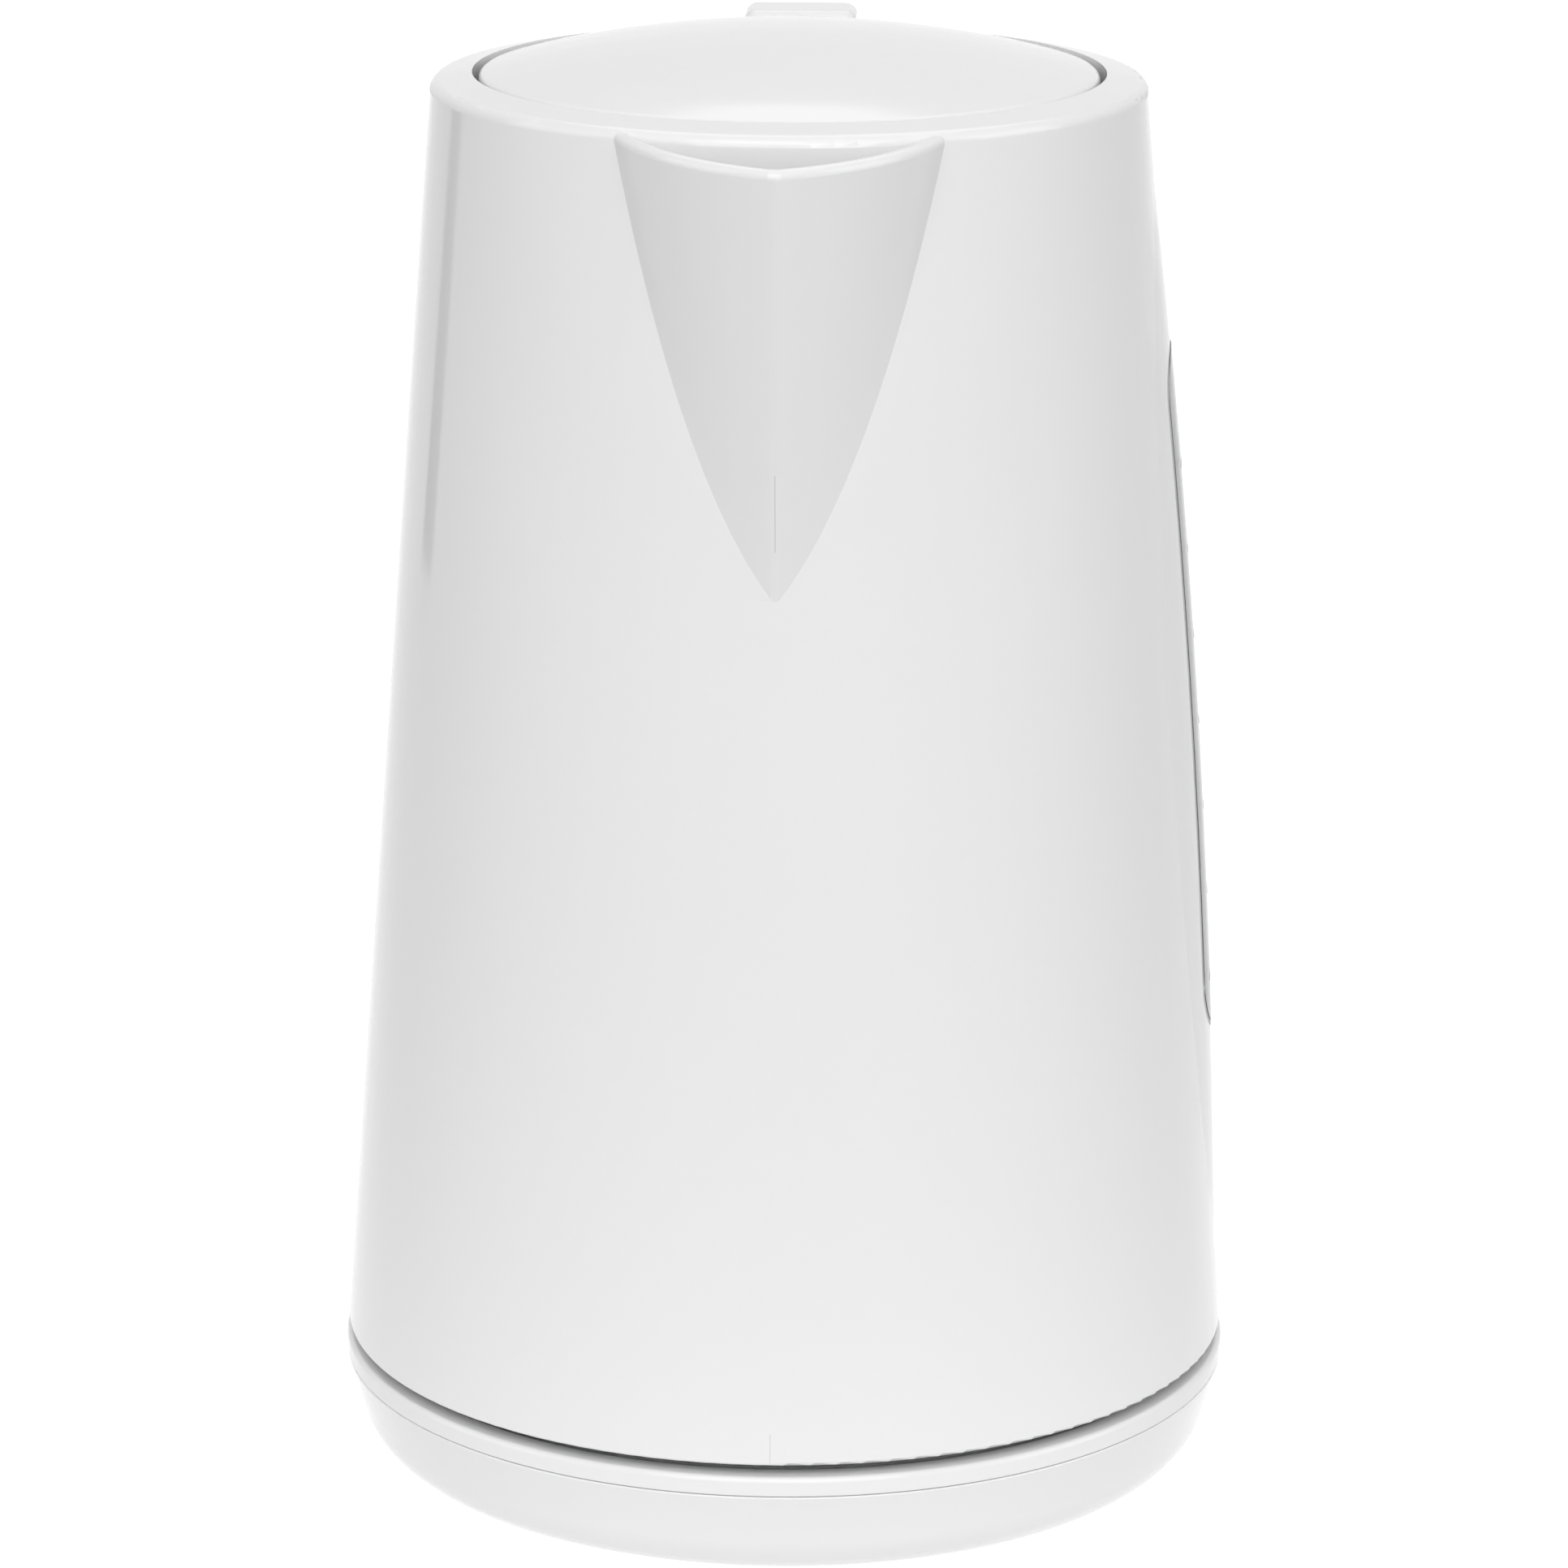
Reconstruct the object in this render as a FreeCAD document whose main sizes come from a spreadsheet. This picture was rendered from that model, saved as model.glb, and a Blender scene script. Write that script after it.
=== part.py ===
# Cordless electric kettle: a white conical jug with a hinged lid and a D handle on a round power base.
# Frame: millimetres, +Z up, origin on the table under the swivel axis, spout towards -Y, handle +Y, gauge +X.
import FreeCAD
import Part
import Sketcher
import math
import os
from types import SimpleNamespace

# Driving dimensions in millimetres; a name that ends in "share" or "slope" is a plain ratio
SIZES = {
    # clearances: between fixed pieces, between moving pieces, and round a pin
    "seat_gap": 0.1,
    "run_gap": 0.4,
    "pin_gap": 0.05,
    # power base
    "foot_drop": 0.6,
    "foot_seat_depth": 0.8,
    "foot_inset": 2.95,
    "foot_width": 6.0,
    "base_wall": 2.2,
    "base_overhang": 0.4,
    "base_draft": 4.6,
    "base_seam_height": 16.7,
    "base_seam_gap": 0.15,
    "base_seam_rounding": 0.25,
    "base_corner_radius": 9.6,
    "band_rounding": 0.9,
    "rim_band_height": 3.2,
    "rim_band_width": 4.0,
    "deck_height": 19.4,
    "cord_inlet_radius": 3.6,
    "cord_inlet_height": 8.5,
    "turret_radius": 13.0,
    "turret_height": 16.0,
    "turret_flange": 5.0,
    "turret_flange_thickness": 2.2,
    "pin_slot_depth": 9.4,
    "centre_pin_radius": 1.8,
    "ring_pin_radius": 6.4,
    "ring_pin_wall": 1.0,
    "pin_slot_gap": 0.6,
    "contact_height": 1.7,
    "base_screw_inset": 9.0,
    "screw_shank_radius": 1.5,
    "screw_head_radius": 3.0,
    "screw_head_height": 1.2,
    "screw_length": 9.0,
    "boss_wall": 2.3,
    # jug shell
    "jug_rest_gap": 2.6,
    "jug_height": 215.8,
    "jug_foot_radius": 75.75,
    "jug_top_radius": 59.4,
    "jug_wall": 2.4,
    "jug_edge_rounding": 0.6,
    "rim_rise": 1.3,
    "rim_rounding": 2.0,
    "rim_width": 6.9,
    "rim_depth": 6.1,
    # spout
    "lip_drop": 1.8,
    "lip_corner_drop": 0.2,
    "lip_setback": 7.4,
    "lip_head_room": 6.0,
    "lip_rounding": 1.2,
    "lip_inner_rounding": 0.3,
    "spout_wall": 2.2,
    "spout_projection": 20.0,
    "spout_drop": 71.5,
    "spout_side_radius": 42.3,
    "spout_side_offset": 14.0,
    "spout_nose_radius": 3.0,
    "spout_taper_share": 0.298,
    "spout_run_out": 14.0,
    "window_ledge": 1.5,
    "window_rise": 16.0,
    "window_head_room": 2.0,
    # spout filter
    "filter_half_width": 25.0,
    "filter_height": 52.0,
    "filter_thickness": 1.5,
    "filter_border": 4.0,
    "filter_setback": 7.2,
    "mesh_thickness": 0.4,
    "guide_wall": 2.2,
    # water gauge
    "swell_foot": 7.0,
    "swell_head": 8.8,
    "swell_bulge": 2.2,
    "swell_length_radius": 1966.0,
    "swell_round_radius": 40.0,
    "gauge_centre": 113.0,
    "gauge_half_length": 60.0,
    "gauge_half_width": 10.5,
    "gauge_flat": 0.5,
    "gasket_wall": 0.8,
    "lens_thickness": 3.0,
    "lens_proud": 0.15,
    # heater under the water space
    "plate_height": 37.0,
    "plate_inset": 9.75,
    "plate_thickness": 1.0,
    "plate_flange_height": 6.0,
    "seal_wall": 2.5,
    "seal_lip": 1.0,
    "shoulder_overlap": 4.0,
    "shoulder_thickness": 3.0,
    "clamp_thickness": 2.0,
    "clamp_bite": 0.5,
    "clamp_width": 5.5,
    "collar_skirt": 2.0,
    "spreader_radius": 42.0,
    "spreader_thickness": 3.0,
    "element_tube_radius": 3.2,
    "element_ring_radius": 31.0,
    "element_bend_radius": 9.0,
    "element_tail_spacing": 9.0,
    "element_tail_length": 10.0,
    "control_half_width": 22.0,
    "control_half_depth": 20.0,
    "control_rounding": 6.0,
    "control_height": 10.0,
    "socket_wall": 3.0,
    "socket_head_room": 1.0,
    "cover_thickness": 2.2,
    "cover_recess": 2.0,
    "cover_foot_inset": 7.2,
    "cover_foot_width": 4.0,
    "cover_screw_inset": 6.55,
    "cover_screw_length": 8.0,
    # lid and its hinge
    "lid_gap": 1.1,
    "lid_sink": 0.2,
    "dome_height": 7.05,
    "lid_edge_rounding": 1.2,
    "lid_skirt": 4.4,
    "lid_wall": 2.2,
    "lid_hollow_radius": 36.0,
    "lid_base_height": 5.0,
    "hinge_setback": 7.5,
    "hinge_depth": 3.7,
    "block_sink": 0.2,
    "block_nose": 4.0,
    "block_depth": 8.0,
    "block_root": 1.0,
    "lid_rear_clearance": 0.6,
    "knuckle_radius": 3.0,
    "knuckle_inner": 14.0,
    "knuckle_width": 8.0,
    "arm_thickness": 3.2,
    "hinge_pin_radius": 1.25,
    "hinge_pin_grip": 2.0,
    "spring_slot_half_width": 8.0,
    "lid_spring_radius": 2.2,
    "lid_spring_wire": 0.35,
    "lid_spring_turns": 10.0,
    "lid_spring_pitch": 1.2,
    "lid_spring_leg": 3.0,
    # lid release
    "catch_half_width": 8.0,
    "catch_thickness": 2.0,
    "catch_setback": 1.9,
    "catch_drop": 10.0,
    "latch_half_width": 4.0,
    "latch_thickness": 3.0,
    "latch_rise": 0.9,
    "button_half_width": 9.9,
    "button_depth": 13.0,
    "button_setback": 9.5,
    "button_rise": 0.4,
    "button_height": 10.5,
    "button_wall": 2.0,
    "button_rounding": 2.5,
    "button_flange": 1.3,
    "button_flange_half_width": 7.0,
    "button_flange_thickness": 1.0,
    "wedge_half_width": 2.6,
    "wedge_start": 4.0,
    "wedge_length": 3.5,
    "wedge_rise": 8.5,
    "latch_spring_radius": 2.0,
    "latch_spring_wire": 0.4,
    "latch_spring_turns": 5.0,
    "latch_spring_pitch": 1.5,
    "spring_stop_thickness": 2.0,
    # handle
    "arm_drop": 17.2,
    "handle_reach": 52.3,
    "handle_shoulder_radius": 26.0,
    "foot_reach": 31.8,
    "foot_corner_height": 34.0,
    "foot_corner_radius": 30.0,
    "foot_arm_run": 45.0,
    "foot_arm_fall": 22.5,
    "handle_half_width": 13.0,
    "handle_wall": 2.2,
    "cover_depth": 12.0,
    "cover_rounding": 7.0,
    "frame_depth": 10.0,
    "frame_rounding": 6.0,
    "handle_screw_height": 22.5,
    "handle_screw_spread": 6.0,
    "handle_screw_length": 9.0,
    "handle_plug_length": 8.0,
    "steam_tube_radius": 3.0,
    "steam_tube_wall": 0.8,
    "steam_tube_offset": 4.0,
    "steam_tube_end": 20.0,
    "steam_hole_radius": 3.0,
    # on and off switch
    "switch_along": 16.0,
    "switch_block_half_length": 9.0,
    "switch_block_bottom": -6.0,
    "switch_block_top": 1.5,
    "switch_block_half_width": 8.5,
    "switch_ear_wall": 2.5,
    "switch_ear_half_length": 3.0,
    "switch_ear_top": 7.5,
    "switch_pivot": 5.0,
    "switch_pin_radius": 1.0,
    "lever_half_width": 8.0,
    "lever_half_length": 9.0,
    "lever_bottom": 9.5,
    "lever_thickness": 5.0,
    "lever_rounding": 2.0,
    "lever_stem_half_length": 3.0,
    "lever_stem_bottom": 3.0,
    "lever_stem_half_width": 5.0,
    "lever_swing_gap": 1.6,
    "bimetal_radius": 6.5,
    "bimetal_thickness": 0.6,
}


class Size:
    """A number kept together with the sheet expression that gives it."""

    def __init__(self, value, text):
        self.value = float(value)
        self.text = text

    def __add__(self, other):
        other = as_size(other)
        return Size(self.value + other.value, f"({self.text} + {other.text})")

    def __radd__(self, other):
        return as_size(other) + self

    def __sub__(self, other):
        other = as_size(other)
        return Size(self.value - other.value, f"({self.text} - {other.text})")

    def __rsub__(self, other):
        return as_size(other) - self

    def __mul__(self, other):
        other = as_size(other)
        return Size(self.value * other.value, f"({self.text} * {other.text})")

    def __rmul__(self, other):
        return as_size(other) * self

    def __truediv__(self, other):
        other = as_size(other)
        return Size(self.value / other.value, f"({self.text} / {other.text})")

    def __rtruediv__(self, other):
        return as_size(other) / self

    def __neg__(self):
        return 0 - self


def as_size(number):
    """Wraps a plain number, so that it can stand beside sizes from the sheet."""
    return number if isinstance(number, Size) else Size(number, repr(float(number)))


def root(number):
    """Square root of a size."""
    return Size(math.sqrt(number.value), f"sqrt({number.text})")


doc = FreeCAD.newDocument("kettle")
sheet = doc.addObject("Spreadsheet::Sheet", "sizes")
for row, (name, value) in enumerate(SIZES.items(), start=1):
    sheet.set(f"A{row}", name)
    sheet.set(f"B{row}", str(value))
    sheet.setAlias(f"B{row}", name)
doc.recompute()
size = SimpleNamespace(**{name: Size(value, f"sizes.{name}") for name, value in SIZES.items()})


def bind(owner, place, number):
    """Sets a property from the sheet, by an expression where the size has one."""
    owner.setExpression(place, as_size(number).text)


def start_body(label):
    """An empty body whose label names its piece."""
    body = doc.addObject("PartDesign::Body", label)
    body.Label = label
    return body


def sketch_on(body, role, lift=None):
    """A sketch on one of the body's own origin planes, lifted along the plane's normal."""
    sketch = body.newObject("Sketcher::SketchObject", body.Label + "_sketch")
    plane = next(item for item in body.Origin.OriginFeatures if item.Role == role)
    sketch.AttachmentSupport = [(plane, "")]
    sketch.MapMode = "FlatFace"
    if lift is not None:
        bind(sketch, "AttachmentOffset.Base.z", lift)
    return sketch


def fix_point(sketch, item, end, x, y):
    """Holds one point of a sketch at (x, y), measured from the sketch's origin."""
    for kind, axis, number in (("DistanceX", -2, x), ("DistanceY", -1, y)):
        number = as_size(number)
        if number.value == 0:
            sketch.addConstraint(Sketcher.Constraint("PointOnObject", item, end, axis))
        else:
            index = sketch.addConstraint(Sketcher.Constraint(kind, -1, 1, item, end, number.value))
            bind(sketch, f"Constraints[{index}]", number)


def fix_radius(sketch, item, radius):
    """Holds the radius of an arc or circle."""
    radius = as_size(radius)
    index = sketch.addConstraint(Sketcher.Constraint("Radius", item, radius.value))
    bind(sketch, f"Constraints[{index}]", radius)


class Bend:
    """An arc of the given radius between two corners, turning left (+1) or right (-1) on the way."""

    def __init__(self, radius, turn):
        self.radius = as_size(radius)
        self.turn = turn


def arc_between(start, end, centre, turn):
    """The arc about a centre from start to end; its own start and end swap on a right turn."""
    first, last = (start, end) if turn > 0 else (end, start)
    circle = Part.Circle(centre, FreeCAD.Vector(0, 0, 1), (start - centre).Length)
    angles = [math.atan2(point.y - centre.y, point.x - centre.x) for point in (first, last)]
    return Part.ArcOfCircle(circle, angles[0], angles[1])


def bend_centre(start, end, bend):
    """Centre of a bend through two points."""
    chord = end - start
    rise = math.sqrt(bend.radius.value**2 - (chord.Length / 2) ** 2)
    side = FreeCAD.Vector(-chord.y, chord.x, 0).normalize() * bend.turn
    return (start + end) / 2 + side * rise


def corner_round(before, corner, after, radius):
    """Tangent points, centre and turn of the arc that rounds a corner."""
    back = (before - corner).normalize()
    ahead = (after - corner).normalize()
    half = math.acos(max(-1.0, min(1.0, back.dot(ahead)))) / 2
    reach = radius / math.tan(half)
    centre = corner + (back + ahead).normalize() * (radius / math.sin(half))
    turn = 1 if (back.x * ahead.y - back.y * ahead.x) < 0 else -1
    return corner + back * reach, corner + ahead * reach, centre, turn


def draw(sketch, items, closed=True):
    """Draws an outline or path through corners (x, y) or (x, y, rounding), with a Bend for an arc between two."""
    corners = [item for item in items if not isinstance(item, Bend)]
    bends = {}
    count = -1
    for item in items:
        if isinstance(item, Bend):
            bends[count] = item
        else:
            count += 1
    places = [FreeCAD.Vector(as_size(c[0]).value, as_size(c[1]).value, 0) for c in corners]
    total = len(corners)
    entry, leave, rounds = list(places), list(places), {}
    for index, corner in enumerate(corners):
        if len(corner) == 3:
            before, after = places[index - 1], places[(index + 1) % total]
            entry[index], leave[index], centre, turn = corner_round(
                before, places[index], after, as_size(corner[2]).value
            )
            rounds[index] = (centre, turn)
    sides = []
    for index in range(total if closed else total - 1):
        start, end = leave[index], entry[(index + 1) % total]
        if index in bends:
            bend = bends[index]
            arc = arc_between(start, end, bend_centre(start, end, bend), bend.turn)
            item = sketch.addGeometry(arc, False)
            fix = (1, 2) if bend.turn > 0 else (2, 1)
        else:
            item = sketch.addGeometry(Part.LineSegment(start, end), False)
            fix = (1, 2)
        sides.append((item, fix))
    for index, corner in enumerate(corners):
        first = sides[index - 1] if closed or index else None
        second = sides[index] if index < len(sides) else None
        if index in rounds:
            centre, turn = rounds[index]
            arc = sketch.addGeometry(arc_between(entry[index], leave[index], centre, turn), False)
            ends = (1, 2) if turn > 0 else (2, 1)
            mark = sketch.addGeometry(Part.Point(places[index]), True)
            sketch.addConstraint(Sketcher.Constraint("Tangent", first[0], first[1][1], arc, ends[0]))
            sketch.addConstraint(Sketcher.Constraint("Tangent", arc, ends[1], second[0], second[1][0]))
            sketch.addConstraint(Sketcher.Constraint("PointOnObject", mark, 1, first[0]))
            sketch.addConstraint(Sketcher.Constraint("PointOnObject", mark, 1, second[0]))
            fix_point(sketch, mark, 1, corner[0], corner[1])
            fix_radius(sketch, arc, corner[2])
            continue
        if first and second:
            sketch.addConstraint(
                Sketcher.Constraint("Coincident", first[0], first[1][1], second[0], second[1][0])
            )
        held = (second[0], second[1][0]) if second else (first[0], first[1][1])
        fix_point(sketch, held[0], held[1], corner[0], corner[1])
    for index, bend in bends.items():
        fix_radius(sketch, sides[index][0], bend.radius)
    return sketch


def draw_circle(sketch, x, y, radius):
    """Draws a circle about (x, y)."""
    centre = FreeCAD.Vector(as_size(x).value, as_size(y).value, 0)
    circle = Part.Circle(centre, FreeCAD.Vector(0, 0, 1), as_size(radius).value)
    item = sketch.addGeometry(circle, False)
    fix_point(sketch, item, 3, x, y)
    fix_radius(sketch, item, radius)
    return sketch


def axis_line(sketch, start, end):
    """Adds a construction line, the axis of a piece that turns about its own centre."""
    ends = [FreeCAD.Vector(as_size(x).value, as_size(y).value, 0) for x, y in (start, end)]
    item = sketch.addGeometry(Part.LineSegment(ends[0], ends[1]), True)
    fix_point(sketch, item, 1, start[0], start[1])
    fix_point(sketch, item, 2, end[0], end[1])
    return sketch


def draw_box(sketch, left, right, bottom, top, rounding=None):
    """Draws a rectangle, with its corners rounded where a rounding is given."""
    extra = () if rounding is None else (rounding,)
    corners = [(left, bottom), (right, bottom), (right, top), (left, top)]
    return draw(sketch, [corner + extra for corner in corners])


def add_feature(body, kind, profile):
    """Adds a feature of the given kind that works from a sketch."""
    feature = body.newObject("PartDesign::" + kind, body.Label + "_" + kind.lower())
    feature.Profile = profile
    return feature


def check_cut(body, feature):
    """Stops if a cut took nothing away."""
    doc.recompute()
    if feature.Shape.Volume >= feature.BaseFeature.Shape.Volume - 1e-6:
        raise RuntimeError(f"{body.Label}: {feature.Name} cuts nothing")
    return feature


def revolve(body, sketch, axis="V_Axis", angle=360, middle=False):
    """Turns a profile about an axis of its sketch."""
    feature = add_feature(body, "Revolution", sketch)
    feature.ReferenceAxis = (sketch, [axis])
    feature.Angle = angle
    feature.Midplane = middle
    return feature


def groove(body, sketch, axis="V_Axis"):
    """Turns a profile about an axis of its sketch and takes it away."""
    feature = add_feature(body, "Groove", sketch)
    feature.ReferenceAxis = (sketch, [axis])
    feature.Angle = 360
    return check_cut(body, feature)


def pad(body, sketch, length, side="One side", back=False):
    """Raises a profile along its sketch's normal."""
    feature = add_feature(body, "Pad", sketch)
    bind(feature, "Length", length)
    feature.SideType = side
    feature.Reversed = back
    return feature


def pocket(body, sketch, length, side="One side", back=False):
    """Cuts a profile along its sketch's normal; unturned it goes against the normal."""
    feature = add_feature(body, "Pocket", sketch)
    bind(feature, "Length", length)
    feature.SideType = side
    feature.Reversed = back
    return check_cut(body, feature)


def loft(body, sketches, kind="AdditiveLoft"):
    """Joins two sections by straight lines, as a solid or as a cut."""
    feature = add_feature(body, kind, sketches[0])
    feature.Sections = sketches[1:]
    feature.Ruled = True
    return feature


def sweep(body, section, path):
    """Carries a section along a path of straight runs and tangent arcs."""
    feature = add_feature(body, "AdditivePipe", section)
    feature.Spine = path
    return feature


def mirror(body, features, role="YZ_Plane"):
    """Repeats features on the other side of an origin plane."""
    copy = body.newObject("PartDesign::Mirrored", body.Label + "_mirrored")
    copy.Originals = features
    copy.MirrorPlane = (next(item for item in body.Origin.OriginFeatures if item.Role == role), [""])
    body.Tip = copy
    return copy


def round_pattern(body, feature, count):
    """Repeats a feature evenly round the upright axis."""
    pattern = body.newObject("PartDesign::PolarPattern", body.Label + "_pattern")
    pattern.Originals = [feature]
    pattern.Axis = (next(item for item in body.Origin.OriginFeatures if item.Role == "Z_Axis"), [""])
    pattern.Angle = 360
    pattern.Occurrences = count
    body.Tip = pattern
    return pattern


# Levels and radii that several pieces share
half_turn = 180
base_screw_count = 3
base_radius = size.jug_foot_radius + size.base_overhang
base_foot_radius = base_radius - size.base_draft
foot_inner_radius = base_foot_radius - size.base_corner_radius - size.foot_inset - size.foot_width
base_screw_circle = foot_inner_radius - size.base_screw_inset
base_floor = size.foot_drop + size.base_wall
deck_underside = size.deck_height - size.base_wall
flange_bottom = deck_underside - size.turret_flange_thickness
turret_top = size.deck_height + size.turret_height
slot_floor = turret_top - size.pin_slot_depth
contact_top = slot_floor + size.contact_height
pin_tip = contact_top + size.run_gap
ring_pin_outer = size.ring_pin_radius + size.ring_pin_wall
boss_radius = size.screw_shank_radius + size.boss_wall
thread_hole_radius = size.screw_shank_radius + size.pin_gap
head_hole_radius = size.screw_head_radius + size.run_gap

jug_bottom = size.deck_height + size.jug_rest_gap
rim_edge = jug_bottom + size.jug_height
rim_top = rim_edge + size.rim_rise
rim_under = rim_top - size.rim_depth
opening_radius = size.jug_top_radius - size.rim_width
wall_slope = (size.jug_foot_radius - size.jug_top_radius) / size.jug_height


def outer_radius(height):
    """Radius of the jug's conical outside at a height above the table."""
    return size.jug_foot_radius - wall_slope * (height - jug_bottom)


def inner_radius(height):
    """Radius of the jug's conical inside at a height above the table."""
    return outer_radius(height) - size.jug_wall


swell_centre = (size.swell_foot + size.jug_height - size.swell_head) / 2
swell_reach = (size.jug_height - size.swell_foot - size.swell_head) / 2
plate_radius = size.jug_foot_radius - size.plate_inset
cover_screw_circle = size.jug_foot_radius - size.cover_screw_inset
cover_foot_radius = cover_screw_circle - size.cover_foot_inset
plate_top = jug_bottom + size.plate_height
plate_bottom = plate_top - size.plate_thickness
flange_end = plate_top - size.plate_flange_height
clamp_bottom = flange_end - size.clamp_thickness
collar_bottom = clamp_bottom - size.collar_skirt
collar_radius = plate_radius + size.seal_wall + size.seat_gap
shoulder_bottom = plate_top + size.seal_lip
shoulder_top = shoulder_bottom + size.shoulder_thickness
shoulder_radius = plate_radius - size.shoulder_overlap
spreader_bottom = plate_bottom - size.spreader_thickness
element_level = spreader_bottom - size.element_tube_radius
control_top = element_level - size.element_tube_radius - size.seat_gap
control_bottom = control_top - size.control_height
cover_bottom = jug_bottom + size.cover_recess
cover_top = cover_bottom + size.cover_thickness
socket_radius = size.turret_radius + size.pin_slot_gap + size.socket_wall
socket_ceiling = turret_top + size.socket_head_room

hinge_y = opening_radius - size.hinge_setback
hinge_z = rim_top - size.hinge_depth
block_front = hinge_y - size.block_nose
block_top = rim_top - size.block_sink
block_bottom = rim_top - size.block_depth
lid_rear = block_front - size.lid_rear_clearance
lid_radius = opening_radius - size.lid_gap
lid_edge = rim_top - size.lid_sink
lid_apex = lid_edge + size.dome_height
lid_seam = lid_edge - size.lid_skirt
lid_underside = lid_seam - size.seat_gap - size.lid_base_height
knuckle_outer = size.knuckle_inner + size.knuckle_width
pin_half_length = knuckle_outer + size.run_gap + size.hinge_pin_grip

arm_level = rim_edge - size.arm_drop
shoulder_y = outer_radius(arm_level) + size.handle_reach
foot_z = jug_bottom + size.foot_corner_height
foot_y = outer_radius(foot_z) + size.foot_reach
foot_length = root(size.foot_arm_run * size.foot_arm_run + size.foot_arm_fall * size.foot_arm_fall)
latch_bottom = arm_level + size.latch_rise
latch_top = latch_bottom + size.latch_thickness
catch_rear = lid_rear - size.catch_setback
catch_front = catch_rear - size.catch_thickness
latch_tip = catch_rear + size.run_gap
button_front = opening_radius + size.button_setback
button_rear = button_front + size.button_depth
button_top = rim_top + size.button_rise
button_bottom = button_top - size.button_height
handle_screw_level = jug_bottom + size.handle_screw_height
filter_front = size.filter_setback - opening_radius
filter_top = lid_underside - size.run_gap * 2
filter_foot = filter_top - size.filter_height


def make_base_lower_shell():
    """Tray of the base: flat floor, leaning rounded side, cord inlet at the back, seats for foot ring and screws."""
    body = start_body("base_lower_shell")
    outer, wall = base_radius, size.base_wall
    seam = size.base_seam_height
    lean = size.base_draft / (seam - size.foot_drop)
    inner_foot = outer - wall - lean * (seam - base_floor)
    tray = draw(
        sketch_on(body, "XZ_Plane"),
        [
            (0, size.foot_drop),
            (base_foot_radius, size.foot_drop, size.base_corner_radius),
            (outer, seam, size.base_seam_rounding),
            (outer - wall, seam),
            (inner_foot, base_floor, size.base_corner_radius - wall),
            (0, base_floor),
        ],
    )
    revolve(body, tray)
    support = draw_box(
        sketch_on(body, "XZ_Plane"),
        size.turret_radius,
        size.turret_radius + wall,
        base_floor - wall / 2,
        flange_bottom,
    )
    revolve(body, support)
    seat = draw_box(
        sketch_on(body, "XZ_Plane"),
        foot_inner_radius - size.seat_gap,
        foot_inner_radius + size.foot_width + size.seat_gap,
        0,
        size.foot_drop + size.foot_seat_depth,
    )
    groove(body, seat)
    centre = base_screw_circle
    head_seat = size.foot_drop + size.screw_head_height
    hole = axis_line(sketch_on(body, "XZ_Plane"), (centre, 0), (centre, base_floor + wall))
    draw(
        hole,
        [
            (centre, 0),
            (centre + head_hole_radius, 0),
            (centre + head_hole_radius, head_seat),
            (centre + thread_hole_radius, head_seat),
            (centre + thread_hole_radius, base_floor + wall),
            (centre, base_floor + wall),
        ],
    )
    round_pattern(body, groove(body, hole, "Axis0"), base_screw_count)
    inlet = draw_circle(sketch_on(body, "XZ_Plane"), 0, size.cord_inlet_height, size.cord_inlet_radius)
    pocket(body, inlet, outer + wall)
    return body


def make_base_upper_shell():
    """Lid of the base: rounded band under the jug's edge, flat deck with the connector hole, screw bosses below."""
    body = start_body("base_upper_shell")
    outer, wall = base_radius, size.base_wall
    band_bottom = size.base_seam_height + size.base_seam_gap
    band_top = band_bottom + size.rim_band_height
    band_inner = outer - size.rim_band_width
    profile = draw(
        sketch_on(body, "XZ_Plane"),
        [
            (size.turret_radius + size.seat_gap, size.deck_height),
            (size.turret_radius + size.seat_gap, deck_underside),
            (outer - wall, deck_underside),
            (outer - wall, band_bottom),
            (outer, band_bottom, size.base_seam_rounding),
            (outer, band_top, size.band_rounding),
            (band_inner, band_top),
            (band_inner - wall, size.deck_height),
        ],
    )
    revolve(body, profile)
    centre = base_screw_circle
    boss = axis_line(sketch_on(body, "XZ_Plane"), (centre, base_floor), (centre, size.deck_height))
    draw_box(
        boss,
        centre + thread_hole_radius,
        centre + boss_radius,
        base_floor + size.seat_gap,
        deck_underside + wall / 2,
    )
    round_pattern(body, revolve(body, boss, "Axis0"), base_screw_count)
    return body


def make_base_connector():
    """Round turret that stands up into the jug's socket, with a centre bore and a ring slot for the jug's pins."""
    body = start_body("base_connector")
    radius = size.turret_radius
    gap = size.pin_slot_gap
    bore = size.centre_pin_radius + gap
    profile = draw(
        sketch_on(body, "XZ_Plane"),
        [
            (0, flange_bottom),
            (radius + size.turret_flange, flange_bottom),
            (radius + size.turret_flange, deck_underside - size.seat_gap),
            (radius, deck_underside - size.seat_gap),
            (radius, turret_top, gap),
            (ring_pin_outer + gap, turret_top),
            (ring_pin_outer + gap, slot_floor),
            (size.ring_pin_radius - gap, slot_floor),
            (size.ring_pin_radius - gap, turret_top),
            (bore, turret_top),
            (bore, slot_floor),
            (0, slot_floor),
        ],
    )
    revolve(body, profile)
    return body


def make_connector_contacts():
    """Brass contacts at the bottom of the turret's bore and ring slot."""
    body = start_body("connector_contacts")
    gap = size.pin_slot_gap - size.seat_gap
    ring = draw_box(
        sketch_on(body, "XZ_Plane"),
        size.ring_pin_radius - gap,
        ring_pin_outer + gap,
        slot_floor,
        contact_top,
    )
    revolve(body, ring)
    button = draw_box(sketch_on(body, "XZ_Plane"), 0, size.centre_pin_radius + gap, slot_floor, contact_top)
    revolve(body, button)
    return body


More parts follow.
